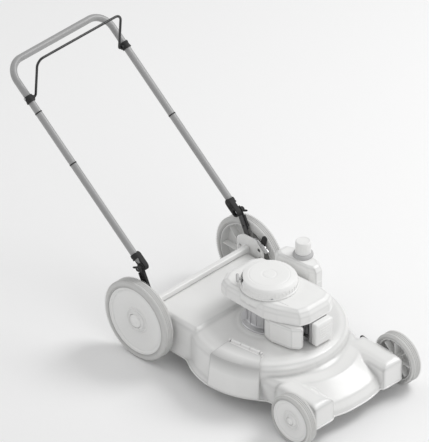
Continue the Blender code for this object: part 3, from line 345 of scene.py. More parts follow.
def settled(obj: bpy.types.Object, angle: float = 34.0) -> bpy.types.Object:
    """Replaces an object's modifiers with the mesh they make."""
    bpy.context.view_layer.update()
    graph = bpy.context.evaluated_depsgraph_get()
    mesh = bpy.data.meshes.new_from_object(obj.evaluated_get(graph))
    obj.modifiers.clear()
    obj.data = mesh
    return polished(obj, angle)


def bevelled(obj: bpy.types.Object, width: float, segments: int = 3, angle: float = 30.0) -> bpy.types.Object:
    """Rounds the edges sharper than the angle."""
    bevel = obj.modifiers.new("edges", "BEVEL")
    bevel.width = width
    bevel.segments = segments
    bevel.limit_method = "ANGLE"
    bevel.angle_limit = math.radians(angle)
    bevel.harden_normals = False
    return settled(obj)


def rounded_profile(points: Profile, radius: float, steps: int = 4) -> Profile:
    """Rounds the inner corners of a profile by a radius, less where its runs are short."""
    result = [points[0]]
    for before, corner, after in zip(points, points[1:], points[2:]):
        at, back, ahead = Vector(corner), Vector(before), Vector(after)
        reach = min(radius, (back - at).length * 0.45, (ahead - at).length * 0.45)
        start = at + (back - at).normalized() * reach
        end = at + (ahead - at).normalized() * reach
        for i in range(steps + 1):
            t = i / steps
            point = start * (1 - t) ** 2 + at * 2 * t * (1 - t) + end * t ** 2
            result.append((point.x, point.y))
    result.append(points[-1])
    return result


AXES = {
    "Z": Matrix.Identity(3),
    "Y": Matrix.Rotation(-math.pi / 2, 3, "X"),
    "-Y": Matrix.Rotation(math.pi / 2, 3, "X"),
    "X": Matrix.Rotation(math.pi / 2, 3, "Y"),
}


def turned_into(bm: bmesh.types.BMesh, profile: Profile, centre: Vector, facing: Matrix, steps: int = 96,
                closed: bool = False) -> None:
    """Adds a turned skin to a bmesh.

    Args:
        bm: what it is added to.
        profile: (radius, height) points; the ends lie on the axis unless the profile is closed.
        centre: where the profile's origin goes.
        facing: takes +Z to the axis.
        steps: faces round it.
        closed: joins the profile's last point to its first.
    """
    rings = []
    for radius, height in profile:
        if radius < 1e-7:
            rings.append([bm.verts.new(centre + facing @ Vector((0, 0, height)))])
            continue
        rings.append([bm.verts.new(centre + facing
                                   @ Vector((radius * math.cos(a), radius * math.sin(a), height)))
                      for a in (2 * math.pi * i / steps for i in range(steps))])
    pairs = list(zip(rings, rings[1:])) + ([(rings[-1], rings[0])] if closed else [])
    for high, low in pairs:
        for i in range(steps):
            j = (i + 1) % steps
            corners = [high[i % len(high)], high[j % len(high)], low[j % len(low)], low[i % len(low)]]
            corners = list(dict.fromkeys(corners))
            if len(corners) > 2:
                bm.faces.new(corners)


def turned(name: str, profile: Profile, centre: Vector, axis: str = "Z", steps: int = 96,
           closed: bool = False, tilt: Optional[Matrix] = None) -> bpy.types.Object:
    """A turned piece about the named axis, or about the +Z that tilt turns."""
    bm = bmesh.new()
    turned_into(bm, profile, centre, tilt or AXES[axis], steps, closed)
    return from_bmesh(name, bm)


def rod(name: str, points: Sequence[Vector], radii: Sequence[tuple[float, float]], sides: int = 24,
        side_hint: Vector = Vector((0, 1, 0))) -> bpy.types.Object:
    """A round or flattened bar swept along points.

    Args:
        name: the piece's name.
        points: the middle of each section.
        radii: (radius along the hint, radius across it) of each section, or one pair for all.
        sides: faces round it.
        side_hint: a direction that the first radius follows.

    Returns:
        The object.
    """
    if len(radii) == 1:
        radii = list(radii) * len(points)
    bm = bmesh.new()
    rings = []
    hint = side_hint.normalized()
    for i, point in enumerate(points):
        ahead = (points[min(i + 1, len(points) - 1)] - points[max(i - 1, 0)]).normalized()
        along = (hint - ahead * hint.dot(ahead)).normalized()
        hint = along
        across = ahead.cross(along)
        wide, thick = radii[i]
        rings.append([bm.verts.new(point + along * wide * math.cos(a) + across * thick * math.sin(a))
                      for a in (2 * math.pi * k / sides for k in range(sides))])
    for low, high in zip(rings, rings[1:]):
        for k in range(sides):
            bm.faces.new((low[k], low[(k + 1) % sides], high[(k + 1) % sides], high[k]))
    bm.faces.new(rings[0])
    bm.faces.new(rings[-1])
    return from_bmesh(name, bm, 50.0)


def bend(before: Vector, corner: Vector, after: Vector, radius: float, steps: int = 16) -> list[Vector]:
    """Points of the arc that rounds a corner between two straight runs."""
    a = (before - corner).normalized()
    b = (after - corner).normalized()
    half = a.angle(b) / 2
    centre = corner + (a + b).normalized() * radius / math.sin(half)
    start = corner + a * radius / math.tan(half) - centre
    end = corner + b * radius / math.tan(half) - centre
    sweep = math.pi - 2 * half
    weights = [(math.sin(sweep * (1 - i / steps)), math.sin(sweep * i / steps)) for i in range(steps + 1)]
    return [centre + (start * w + end * v) / math.sin(sweep) for w, v in weights]


def hull_into(bm: bmesh.types.BMesh, points: Sequence[Vector]) -> None:
    """Adds the convex hull of points to a bmesh."""
    corners = [bm.verts.new(point) for point in points]
    made = bmesh.ops.convex_hull(bm, input=corners)
    spare = [v for v in set(made["geom_interior"] + made["geom_unused"]) if isinstance(v, bmesh.types.BMVert)]
    bmesh.ops.delete(bm, geom=spare, context="VERTS")


def block_into(bm: bmesh.types.BMesh, size: Sequence[float], centre: Vector,
               tilt: Optional[Matrix] = None) -> None:
    """Adds a box to a bmesh."""
    matrix = Matrix.Translation(centre) @ (tilt.to_4x4() if tilt else Matrix()) @ Matrix.Diagonal((*size, 1))
    bmesh.ops.create_cube(bm, size=1, matrix=matrix)


def cylinder_into(bm: bmesh.types.BMesh, radius: float, length: float, centre: Vector, axis: str = "Z",
                  steps: int = 64, end_radius: Optional[float] = None) -> None:
    """Adds a cylinder or a cone to a bmesh."""
    matrix = Matrix.Translation(centre) @ AXES[axis].to_4x4()
    bmesh.ops.create_cone(bm, cap_ends=True, segments=steps, radius1=radius, depth=length, matrix=matrix,
                          radius2=radius if end_radius is None else end_radius)


def box_piece(name: str, size: Sequence[float], centre: Vector, radius: float, segments: int = 3,
              tilt: Optional[Matrix] = None) -> bpy.types.Object:
    """A box with rounded edges."""
    bm = bmesh.new()
    block_into(bm, size, centre, tilt)
    return bevelled(from_bmesh(name, bm), radius, segments)


def plate_piece(name: str, outline: Sequence[tuple[float, float]], inner: float, outer: float,
                radius: float = 0.0008, holes: Sequence[tuple[float, float, float]] = ()) -> bpy.types.Object:
    """An upright plate between two distances left of the middle.

    Args:
        name: the piece's name.
        outline: (x, z) corners in order.
        inner: y of one face.
        outer: y of the other face.
        radius: how far its edges are rounded.
        holes: (x, z, radius) of round holes.

    Returns:
        The object.
    """
    bm = bmesh.new()
    corners = [bm.verts.new((x, inner, z)) for x, z in outline]
    face = bm.faces.new(corners)
    made = bmesh.ops.extrude_face_region(bm, geom=[face])
    moved = [v for v in made["geom"] if isinstance(v, bmesh.types.BMVert)]
    bmesh.ops.translate(bm, verts=moved, vec=(0, outer - inner, 0))
    obj = from_bmesh(name, bm)
    for x, z, hole in holes:
        cutter = bmesh.new()
        cylinder_into(cutter, hole, 0.2, Vector((x, (inner + outer) / 2, z)), "Y", 24)
        carve(obj, from_bmesh("hole", cutter))
    return bevelled(obj, radius, 2)


def carve(obj: bpy.types.Object, cutter: bpy.types.Object, operation: str = "DIFFERENCE") -> bpy.types.Object:
    """Cuts or joins another object, which is then removed."""
    change = obj.modifiers.new("carve", "BOOLEAN")
    change.operation = operation
    change.object = cutter
    change.solver = "EXACT"
    settled(obj)
    bpy.data.objects.remove(cutter)
    return obj


def slot_outline(start: Vector, end: Vector, radius: float, steps: int = 14) -> list[tuple[float, float]]:
    """(x, z) points round a bar with round ends."""
    heading = math.atan2(end.z - start.z, end.x - start.x)
    points = []
    for centre, turn in ((start, math.pi / 2), (end, -math.pi / 2)):
        for i in range(steps + 1):
            a = heading + turn + math.pi * i / steps
            points.append((centre.x + radius * math.cos(a), centre.z + radius * math.sin(a)))
    return points


def melted(name: str, bm: bmesh.types.BMesh, voxel: float, smoothing: int) -> bpy.types.Object:
    """Fuses overlapping solids into one skin with soft fillets.

    Args:
        name: the piece's name.
        bm: closed solids that overlap.
        voxel: the size of the skin's faces.
        smoothing: rounds of smoothing.

    Returns:
        The object.
    """
    obj = from_bmesh(name, bm)
    skin = obj.modifiers.new("skin", "REMESH")
    skin.mode = "VOXEL"
    skin.voxel_size = voxel
    soften = obj.modifiers.new("soften", "SMOOTH")
    soften.factor = 0.5
    soften.iterations = smoothing
    return settled(obj, 60.0)


def mark_edges(obj: bpy.types.Object, reach: float, spread: int = 1) -> bpy.types.Object:
    """Stores how sharply the surface bends at each point, as the attribute 'edge', for the painted shade that
    darkens edges and creases.

    Args:
        obj: a finely meshed piece.
        reach: the bend, in radians a face, that counts as a full edge.
        spread: rounds of averaging over neighbours.

    Returns:
        The same object.
    """
    bm = bmesh.new()
    bm.from_mesh(obj.data)
    values = np.zeros(len(bm.verts))
    for vert in bm.verts:
        angles = [edge.calc_face_angle(0.0) for edge in vert.link_edges]
        values[vert.index] = min(1.0, max(angles, default=0.0) / reach)
    for _ in range(spread):
        near = [[other.other_vert(vert).index for other in vert.link_edges] for vert in bm.verts]
        values = np.array([0.5 * values[i] + 0.5 * values[n].mean() if n else values[i]
                           for i, n in enumerate(near)])
    bm.free()
    layer = obj.data.attributes.new("edge", "FLOAT", "POINT")
    layer.data.foreach_set("value", values.astype(np.float32))
    return obj


# ----------------------------------------------------------------------------------- geometry nodes
class Copies:
    """A geometry-nodes tree that sets copies of a rounded block round a ring or along a row."""

    def __init__(self) -> None:
        """Makes the two trees once."""
        self.ring = self.tree("copies_round_a_ring", ring=True)
        self.row = self.tree("copies_in_a_row", ring=False)

    @staticmethod
    def tree(name: str, ring: bool) -> bpy.types.NodeTree:
        """Builds one tree with named inputs for its sizes."""
        made = bpy.data.node_groups.new(name, "GeometryNodeTree")
        face = made.interface
        face.new_socket("Geometry", in_out="INPUT", socket_type="NodeSocketGeometry")
        face.new_socket("Count", in_out="INPUT", socket_type="NodeSocketInt")
        face.new_socket("Radius", in_out="INPUT", socket_type="NodeSocketFloat")
        face.new_socket("Step", in_out="INPUT", socket_type="NodeSocketVector")
        face.new_socket("Turn", in_out="INPUT", socket_type="NodeSocketVector")
        face.new_socket("Material", in_out="INPUT", socket_type="NodeSocketMaterial")
        face.new_socket("Geometry", in_out="OUTPUT", socket_type="NodeSocketGeometry")
        nodes, links = made.nodes, made.links
        start, end = nodes.new("NodeGroupInput"), nodes.new("NodeGroupOutput")
        if ring:
            places = nodes.new("GeometryNodeMeshCircle")
            links.new(start.outputs["Count"], places.inputs["Vertices"])
            links.new(start.outputs["Radius"], places.inputs["Radius"])
        else:
            places = nodes.new("GeometryNodeMeshLine")
            places.mode = "OFFSET"
            links.new(start.outputs["Count"], places.inputs["Count"])
            links.new(start.outputs["Step"], places.inputs["Offset"])
        copies = nodes.new("GeometryNodeInstanceOnPoints")
        links.new(places.outputs[0], copies.inputs["Points"])
        links.new(start.outputs["Geometry"], copies.inputs["Instance"])
        if ring:
            index = nodes.new("GeometryNodeInputIndex")
            share = nodes.new("ShaderNodeMath")
            share.operation = "DIVIDE"
            links.new(index.outputs[0], share.inputs[0])
            links.new(start.outputs["Count"], share.inputs[1])
            angle = nodes.new("ShaderNodeMath")
            angle.operation = "MULTIPLY"
            angle.inputs[1].default_value = 2 * math.pi
            links.new(share.outputs[0], angle.inputs[0])
            turn = nodes.new("ShaderNodeCombineXYZ")
            links.new(angle.outputs[0], turn.inputs["Z"])
            total = nodes.new("ShaderNodeVectorMath")
            total.operation = "ADD"
            links.new(turn.outputs[0], total.inputs[0])
            links.new(start.outputs["Turn"], total.inputs[1])
            links.new(total.outputs[0], copies.inputs["Rotation"])
        else:
            links.new(start.outputs["Turn"], copies.inputs["Rotation"])
        real = nodes.new("GeometryNodeRealizeInstances")
        links.new(copies.outputs[0], real.inputs[0])
        dress = nodes.new("GeometryNodeSetMaterial")
        links.new(real.outputs[0], dress.inputs["Geometry"])
        links.new(start.outputs["Material"], dress.inputs["Material"])
        links.new(dress.outputs[0], end.inputs[0])
        return made

    def spread(self, seed: bpy.types.Object, tree: bpy.types.NodeTree, look: Look, place: Matrix,
               **inputs: object) -> bpy.types.Object:
        """Runs a tree on a seed shape that lies at the origin.

        Args:
            seed: the shape to copy.
            tree: the ring or the row.
            look: the copies' finish.
            place: where the tree's origin goes.
            inputs: values of the tree's named inputs.

        Returns:
            The seed object, now holding all the copies in place.
        """
        made = seed.modifiers.new("copies", "NODES")
        made.node_group = tree
        values = dict(inputs, Material=look.material())
        for item in tree.interface.items_tree:
            if item.in_out == "INPUT" and item.name in values:
                made[item.identifier] = values[item.name]
        settled(seed)
        seed.data.transform(place)
        return seed


COPIES = Copies()


def round_a_ring(name: str, seed: bpy.types.Object, count: int, radius: float, look: Look, centre: Vector,
                 facing: Optional[Matrix] = None, turn: Sequence[float] = (0, 0, 0)) -> bpy.types.Object:
    """Copies of a seed round a ring; the seed's +X points away from the middle."""
    place = Matrix.Translation(centre) @ (facing or Matrix.Identity(3)).to_4x4()
    made = COPIES.spread(seed, COPIES.ring, look, place, Count=count, Radius=radius, Turn=Vector(turn))
    made.name = name
    return made


def in_a_row(name: str, seed: bpy.types.Object, count: int, step: Sequence[float], look: Look,
             first: Vector, facing: Optional[Matrix] = None) -> bpy.types.Object:
    """Copies of a seed along a row that starts at first."""
    place = Matrix.Translation(first) @ (facing or Matrix.Identity(3)).to_4x4()
    made = COPIES.spread(seed, COPIES.row, look, place, Count=count, Step=Vector(step))
    made.name = name
    return made


def seed_block(size: Sequence[float], radius: float = 0.0005,
               centre: Sequence[float] = (0, 0, 0)) -> bpy.types.Object:
    """A small rounded block at the origin, to be copied."""
    return box_piece("seed", size, Vector(centre), radius, 1)


def seed_bolt(head: float, height: float) -> bpy.types.Object:
    """A hexagonal bolt head on a round washer at the origin, standing along +Z."""
    bm = bmesh.new()
    cylinder_into(bm, head * 1.45, height * 0.28, Vector((0, 0, height * 0.14)), "Z", 20)
    washer = bevelled(from_bmesh("seed", bm), height * 0.06, 1)
    top = bmesh.new()
    cylinder_into(top, head, height * 0.74, Vector((0, 0, height * 0.62)), "Z", 6, head * 0.94)
    return joined([washer, bevelled(from_bmesh("seed_head", top), height * 0.08, 1)], "seed")


def joined(pieces: Sequence[bpy.types.Object], name: str) -> bpy.types.Object:
    """Puts several meshes in one object, with their materials."""
    keep = pieces[0]
    with bpy.context.temp_override(active_object=keep, selected_editable_objects=list(pieces)):
        bpy.ops.object.join()
    keep.name = name
    return polished(keep)


# ------------------------------------------------------------------------------------ sub-assemblies
def middle(node: str) -> Vector:
    """The middle of a CAD node's box."""
    low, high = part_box(node)
    return (low + high) / 2


class Assembly:
    """What every sub-assembly shares: dressing a piece and tying it to its body."""

    def add(self, obj: bpy.types.Object, name: str, look: Look, body: str, slot: str,
            replaces: Sequence[str] = ()) -> bpy.types.Object:
        """Names a piece, gives it its finish and ties it to the frame.

        Args:
            obj: the piece.
            name: what it is called.
            look: its finish.
            body: the body it moves with.
            slot: the record's material slot; not used.
            replaces: CAD nodes that it stands for.

        Returns:
            The piece.
        """
        obj.name = name
        obj.data.name = name
        if not obj.data.materials or obj.data.materials[0] is None:
            obj.data.materials.clear()
            obj.data.materials.append(look.material())
        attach(obj, body)
        if replaces:
            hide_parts(*replaces)
        LOG.info("%s rides on %s (%d faces)", name, body, len(obj.data.polygons))
        return obj


REAR_AXLE = middle("rear_left_tyre")
SIDES = (("right", -1), ("left", 1))


def spot(ahead: float, left: float, up: float) -> Vector:
    """A point that far ahead of the rear axle, left of the middle and above the ground."""
    return Vector((ahead + REAR_AXLE.x, left, up))


def beaded(name: str, loops: Sequence[Sequence[Vector]], radius: float) -> bpy.types.Object:
    """Round beads along closed loops of points."""
    path = bpy.data.curves.new(name, "CURVE")
    path.dimensions = "3D"
    path.bevel_depth = radius
    path.bevel_resolution = 3
    for loop in loops:
        spline = path.splines.new("POLY")
        spline.points.add(len(loop) - 1)
        for slot, point in zip(spline.points, loop):
            slot.co = (*point, 1)
        spline.use_cyclic_u = True
    guide = bpy.data.objects.new(name, path)
    bpy.context.scene.collection.objects.link(guide)
    bpy.context.view_layer.update()
    mesh = bpy.data.meshes.new_from_object(guide.evaluated_get(bpy.context.evaluated_depsgraph_get()))
    bpy.data.objects.remove(guide)
    obj = bpy.data.objects.new(name, mesh)
    bpy.context.scene.collection.objects.link(obj)
    return polished(obj, 60.0)


def rim_loops(obj: bpy.types.Object, rounds: int = 6) -> list[list[Vector]]:
    """The open edges of a mesh as closed loops of points, evened out a little."""
    bm = bmesh.new()
    bm.from_mesh(obj.data)
    bm.verts.ensure_lookup_table()
    left = {edge for edge in bm.edges if edge.is_boundary}
    loops = []
    while left:
        edge = left.pop()
        start, at = edge.verts
        loop = [start.co.copy(), at.co.copy()]
        while at is not start:
            edge = next((e for e in at.link_edges if e in left), None)
            if edge is None:
                break
            left.discard(edge)
            at = edge.other_vert(at)
            loop.append(at.co.copy())
        loop.pop()
        for _ in range(rounds):
            loop = [(loop[i - 1] + loop[i] * 2 + loop[(i + 1) % len(loop)]) / 4 for i in range(len(loop))]
        if len(loop) > 20:
            loops.append(loop)
    bm.free()
    return loops


@dataclass
class Deck(Assembly):
    """The pressed deck: round blade housing, nose, shoulders over the front axle and a box at the back."""

    spindle_ahead: float = 0.360
    plateau_r: float = 0.240
    housing_r: float = 0.273
    flange_r: float = 0.286
    top: float = 0.192
    bottom: float = 0.058
    box_bottom: float = 0.080
    sheet: float = 0.0025
    voxel: float = 0.005
    mouth: tuple[float, float] = (math.radians(-90), math.radians(-54))
    mouth_top: float = 0.162

    def ring(self, ahead: float, radius: float, up: float, steps: int = 72) -> list[Vector]:
        """Points of a level circle."""
        return [spot(ahead + radius * math.cos(a), radius * math.sin(a), up)
                for a in (2 * math.pi * i / steps for i in range(steps))]

    def nose_line(self, reach: float, half: float, up: float) -> list[Vector]:
        """A level outline of the nose: how far it reaches ahead and its greatest half width."""
        middle_ahead = 0.500
        points = [spot(middle_ahead - 0.05, side * half * 0.9, up) for _, side in SIDES]
        for i in range(-16, 17):
            a = math.pi / 2 * i / 16
            wide = half * math.copysign(abs(math.sin(a)) ** 0.8, a)
            points.append(spot(middle_ahead + (reach - middle_ahead) * abs(math.cos(a)) ** 0.45, wide, up))
        return points

    def shoulder(self, bm: bmesh.types.BMesh, side: int) -> None:
        """The box over a front axle's end, with a crowned top."""
        levels = (
            (((0.600, 0.120), (0.792, 0.120), (0.792, 0.214), (0.600, 0.214)), 0.040),
            (((0.600, 0.120), (0.792, 0.120), (0.792, 0.214), (0.600, 0.214)), 0.134),
            (((0.606, 0.135), (0.784, 0.135), (0.778, 0.209), (0.606, 0.209)), 0.144),
            (((0.612, 0.150), (0.772, 0.150), (0.764, 0.202), (0.612, 0.202)), 0.148),
        )
        hull_into(bm, [spot(a, side * l, up) for corners, up in levels for a, l in corners])

    def solids(self) -> bmesh.types.BMesh:
        """The deck's outer form as overlapping closed solids, open below once it is trimmed."""
        bm = bmesh.new()
        low = self.bottom - 0.02
        profile = [(0, self.top), (self.plateau_r, self.top), (self.plateau_r + 0.022, self.top - 0.006),
                   (self.housing_r, self.top - 0.022), (self.housing_r, self.bottom + 0.012),
                   (self.flange_r, self.bottom + 0.003), (self.flange_r, low), (0, low)]
        turned_into(bm, profile, spot(self.spindle_ahead, 0, 0), AXES["Z"], 120)
        hull_into(bm, self.nose_line(0.797, 0.203, low) + self.nose_line(0.797, 0.203, 0.072)
                  + self.nose_line(0.780, 0.199, 0.100) + self.ring(0.500, 0.218, 0.131)
                  + self.ring(0.500, 0.206, 0.146))
        hull_into(bm, self.ring(0.500, 0.150, 0.140) + self.ring(0.500, 0.146, 0.151))
        for _, side in SIDES:
            self.shoulder(bm, side)
        back, front, half, ease = 0.020, 0.235, 0.2313, 0.012
        outer = [(back, -half), (front, -half), (front, half), (back, half)]
        inner = [(back + ease, ease - half), (front - ease, ease - half), (front - ease, half - ease),
                 (back + ease, half - ease)]
        hull_into(bm, [spot(a, l, up) for corners, up in ((outer, low), (outer, 0.188), (inner, 0.200))
                       for a, l in corners])
        cylinder_into(bm, 0.108, 0.012, spot(self.spindle_ahead, 0, self.top), "Z", 72)
        return bm

    def trim(self, obj: bpy.types.Object) -> None:
        """Opens the underside and the side discharge."""
        bm = bmesh.new()
        bm.from_mesh(obj.data)
        hub = spot(self.spindle_ahead, 0, 0)
        back = spot(0.085, 0, 0)

        def cut(point: Vector, normal: Sequence[float], keep: Callable[[Vector], bool],
                clear: bool = False) -> None:
            faces = [f for f in bm.faces if keep(f.calc_center_median())]
            corners, edges = {v for f in faces for v in f.verts}, {e for f in faces for e in f.edges}
            geom = [*corners, *edges, *faces]
            bmesh.ops.bisect_plane(bm, geom=geom, plane_co=point, plane_no=normal, clear_outer=clear)

        cut(Vector((0, 0, self.bottom)), (0, 0, -1), lambda c: True, True)
        cut(Vector((0, 0, self.box_bottom)), (0, 0, -1), lambda c: c.x < back.x + 0.02)
        cut(back, (1, 0, 0), lambda c: c.z < self.box_bottom + 0.02)
        cut(Vector((0, 0, self.mouth_top)), (0, 0, 1), lambda c: c.y < -0.15 and c.x > hub.x - 0.03)
        for angle in self.mouth:
            cut(hub, (-math.sin(angle), math.cos(angle), 0),
                lambda c: c.y < -0.12 and c.z < self.mouth_top + 0.01)

        def open_here(c: Vector) -> bool:
            out = c - hub
            angle = math.atan2(out.y, out.x)
            in_mouth = self.mouth[0] < angle < self.mouth[1] and c.z < self.mouth_top and out.xy.length > 0.22
            return in_mouth or (c.x < back.x and c.z < self.box_bottom)

        gone = [f for f in bm.faces if open_here(f.calc_center_median())]
        bmesh.ops.delete(bm, geom=gone, context="FACES")
        bmesh.ops.remove_doubles(bm, verts=bm.verts, dist=0.0004)
        bm.to_mesh(obj.data)
        bm.free()

    def build_shell(self) -> None:
        """The shell with its rolled hem."""
        shell = melted("deck", self.solids(), self.voxel, 5)
        self.trim(shell)
        hem = beaded("deck_hem", rim_loops(shell), 0.0032)
        mark_edges(shell, 0.75, 1)
        wall = shell.modifiers.new("sheet", "SOLIDIFY")
        wall.thickness = self.sheet
        wall.offset = -1
        settled(shell, 60.0)
        self.add(shell, "deck_pressing", Look.DECK, "root", "deck_paint", ("deck_shell", "rear_deck_box"))
        self.add(hem, "deck_rolled_hem", Look.DECK, "root", "deck_paint")

    def build_brackets(self) -> None:
        """The side plates at the back, the pads over the front axle, their rivets and the tie bar."""
        low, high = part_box("rear_bracket_left")
        outer, inner = high.y, low.y
        outline = [(-0.028, 0.122), (-0.028, 0.232), (-0.020, 0.244), (0.006, 0.261), (0.058, 0.262),
                   (0.068, 0.257),
                   (0.099, 0.228), (0.101, 0.218), (0.101, 0.122), (0.095, 0.118), (-0.022, 0.118)]
        shape = [(REAR_AXLE.x + a, up) for a, up in outline]
        holes = [(REAR_AXLE.x + a, up, r) for a, up, r in
                 ((0.078, 0.226, 0.0075), (0.084, 0.196, 0.0055), (-0.012, 0.205, 0.006),
                  (0.055, 0.165, 0.0068))]
        for name, side in SIDES:
            plate = plate_piece("plate", shape, side * inner, side * outer, 0.0006, holes)
            self.add(plate, f"rear_side_plate_{name}", Look.DECK, "root", "deck_paint",
                     (f"rear_bracket_{name}",))
            seats = [(-0.016, 0.140), (0.088, 0.140), (0.088, 0.178), (-0.016, 0.178)]
            for i, (a, up) in enumerate(seats):
                bolt = seed_bolt(0.0042, 0.0042)
                bolt.data.transform(Matrix.Translation(spot(a, side * (outer + 0.0001), up))
                                    @ AXES["Y" if side > 0 else "-Y"].to_4x4())
                self.add(bolt, f"side_plate_bolt_{name}_{i}", Look.STEEL, "root", "bare_steel")
            pad = [(REAR_AXLE.x + a, up)
                   for a, up in ((0.652, 0.084), (0.650, 0.130), (0.662, 0.140), (0.738, 0.140),
                                 (0.764, 0.114), (0.765, 0.090), (0.760, 0.084))]
            plate = plate_piece("pad", pad, side * 0.2135, side * 0.217, 0.0008,
                                [(REAR_AXLE.x + 0.680, 0.107, 0.0070)])
            self.add(plate, f"front_axle_pad_{name}", Look.DECK, "root", "deck_paint")
        bar_low, bar_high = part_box("rear_tie_bar")
        bar = box_piece("bar", bar_high - bar_low, (bar_low + bar_high) / 2, 0.005, 4)
        self.add(bar, "rear_cross_bar", Look.DECK, "root", "deck_paint", ("rear_tie_bar",))

    def build_flap(self) -> None:
        """The trailing rubber shield: a rolled top round its rod, ribs and a thicker lower edge."""
        low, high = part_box("rear_flap")
        rod_at = spot(0.010, 0, 0.176)
        half = high.y
        barrel = turned("flap_barrel", rounded_profile([(0, half), (0.0062, half), (0.0062, -half),
                                                        (0, -half)], 0.001),
                        rod_at, "Y", 32)
        sheet = box_piece("flap_sheet", (0.0032, 2 * half, 0.128),
                          Vector((rod_at.x - 0.001, 0, low.z + 0.064)), 0.0008, 2)
        edge = box_piece("flap_edge", (0.0040, 2 * half, 0.010), Vector((rod_at.x - 0.001, 0, low.z + 0.005)),
                         0.0012, 2)
        ribs = in_a_row("flap_ribs", seed_block((0.0040, 0.003, 0.100), 0.0008), 21, (0, 2 * half / 21, 0),
                        Look.FLAP,
                        Vector((rod_at.x - 0.001, -half + half / 21, low.z + 0.062)))
        flap = joined([barrel, sheet, edge, ribs], "flap")
        self.add(flap, "trailing_flap", Look.FLAP, "flap", "flap_rubber", ("rear_flap",))
        low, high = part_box("flap_rod")
        bar = turned("flap_pin", rounded_profile([(0, high.y), (0.003, high.y), (0.003, low.y), (0, low.y)],
                                                 0.0008),
                     Vector((rod_at.x, 0, rod_at.z)), "Y", 24)
        self.add(bar, "flap_hinge_pin", Look.STEEL, "root", "bare_steel", ("flap_rod",))

    def build(self) -> None:
        """Builds the whole deck."""
        self.build_shell()
        self.build_brackets()
        self.build_flap()


@dataclass
class Door(Assembly):
    """The sprung cover over the side discharge, on its hinge."""

    start: float = math.radians(-92)
    end: float = math.radians(-52)
    fold_r: float = 0.277
    skirt_r: float = 0.292
    fold_up: float = 0.188
    skirt_up: float = 0.0605

    def frame(self) -> tuple[Vector, float, Matrix]:
        """The hinge's middle, its length and the turn that takes +X along it."""
        rear, front = spot(0.357, -0.192, 0.2075), spot(0.499, -0.172, 0.2075)
        along = front - rear
        return (rear + front) / 2, along.length, Matrix.Rotation(math.atan2(along.y, along.x), 3, "Z")

    def build(self) -> None:
        """The pressed panel, the barrel, the rod and its lugs."""
        centre, length, yaw = self.frame()
        steps = 32
        bm = bmesh.new()
        rows = []
        levels = [(self.skirt_r, self.skirt_up), (self.skirt_r - 0.001, self.skirt_up + 0.012),
                  (self.fold_r + 0.006, 0.135), (self.fold_r + 0.001, self.fold_up - 0.006),
                  (self.fold_r - 0.004, self.fold_up)]
        for radius, up in levels:
            rows.append([spot(0.360 + radius * math.cos(a), radius * math.sin(a), up)
                         for a in (self.start + (self.end - self.start) * i / steps
                                   for i in range(steps + 1))])
        strip = [centre + yaw @ Vector(((i / steps - 0.5) * length, -0.0098, -0.0015))
                 for i in range(steps + 1)]
        fold = rows[-1]
        rows.append([f.lerp(t, 0.5) for f, t in zip(fold, strip)])
        rows.append(strip)
        corners = [[bm.verts.new(p) for p in row] for row in rows]
        for low, high in zip(corners, corners[1:]):
            for i in range(steps):
                bm.faces.new((low[i], low[i + 1], high[i + 1], high[i]))
        panel = from_bmesh("panel", bm)
        if panel.data.polygons[0].normal.y > 0:
            panel.data.flip_normals()
        wall = panel.modifiers.new("sheet", "SOLIDIFY")
        wall.thickness = 0.0025
        wall.offset = -1
        bevelled(panel, 0.0007, 2, 40)
        leaf_bm = bmesh.new()
        block_into(leaf_bm, (length - 0.024, 0.010, 0.0025), centre + yaw @ Vector((0, -0.0075, -0.0028)),
                   yaw)
        leaf = from_bmesh("leaf", leaf_bm)
        across = yaw @ AXES["X"]
        knuckles = []
        span = length - 0.024
        for i in range(3):
            at = centre + yaw @ Vector(((i - 1) * span / 3, 0, 0))
            half = span / 6 - 0.0012
            profile = rounded_profile([(0.0032, half), (0.0064, half), (0.0064, -half), (0.0032, -half)],
                                      0.0008)
            knuckles.append(turned("knuckle", profile, at, closed=True, steps=32, tilt=across))
        door = joined([mark_edges(panel, 0.7, 0), leaf, *knuckles], "door")
        self.add(door, "discharge_cover", Look.DECK, "door", "deck_paint", ("discharge_door",))
        rod_half = length / 2
        pin = turned("pin", rounded_profile([(0, rod_half), (0.003, rod_half), (0.003, -rod_half),
                                             (0, -rod_half)], 0.0007),
                     centre, steps=24, tilt=across)
        self.add(pin, "cover_hinge_pin", Look.STEEL, "root", "bare_steel", ("door_hinge_rod",))
        for name, sign in (("rear", -1), ("front", 1)):
            stand = centre + yaw @ Vector((sign * (length / 2 - 0.005), 0, 0))
            bm = bmesh.new()
            block_into(bm, (0.0055, 0.0098, 0.016), Vector((stand.x, stand.y, 0.1985)), yaw)
            cylinder_into(bm, 0.0052, 0.0055, Vector(), "X", 24)
            bm.verts.ensure_lookup_table()
            bmesh.ops.transform(bm, verts=bm.verts[8:], matrix=Matrix.Translation(stand) @ yaw.to_4x4())
            self.add(bevelled(from_bmesh("lug", bm), 0.0006, 2), f"cover_hinge_lug_{name}", Look.DECK, "root",
                     "deck_paint")


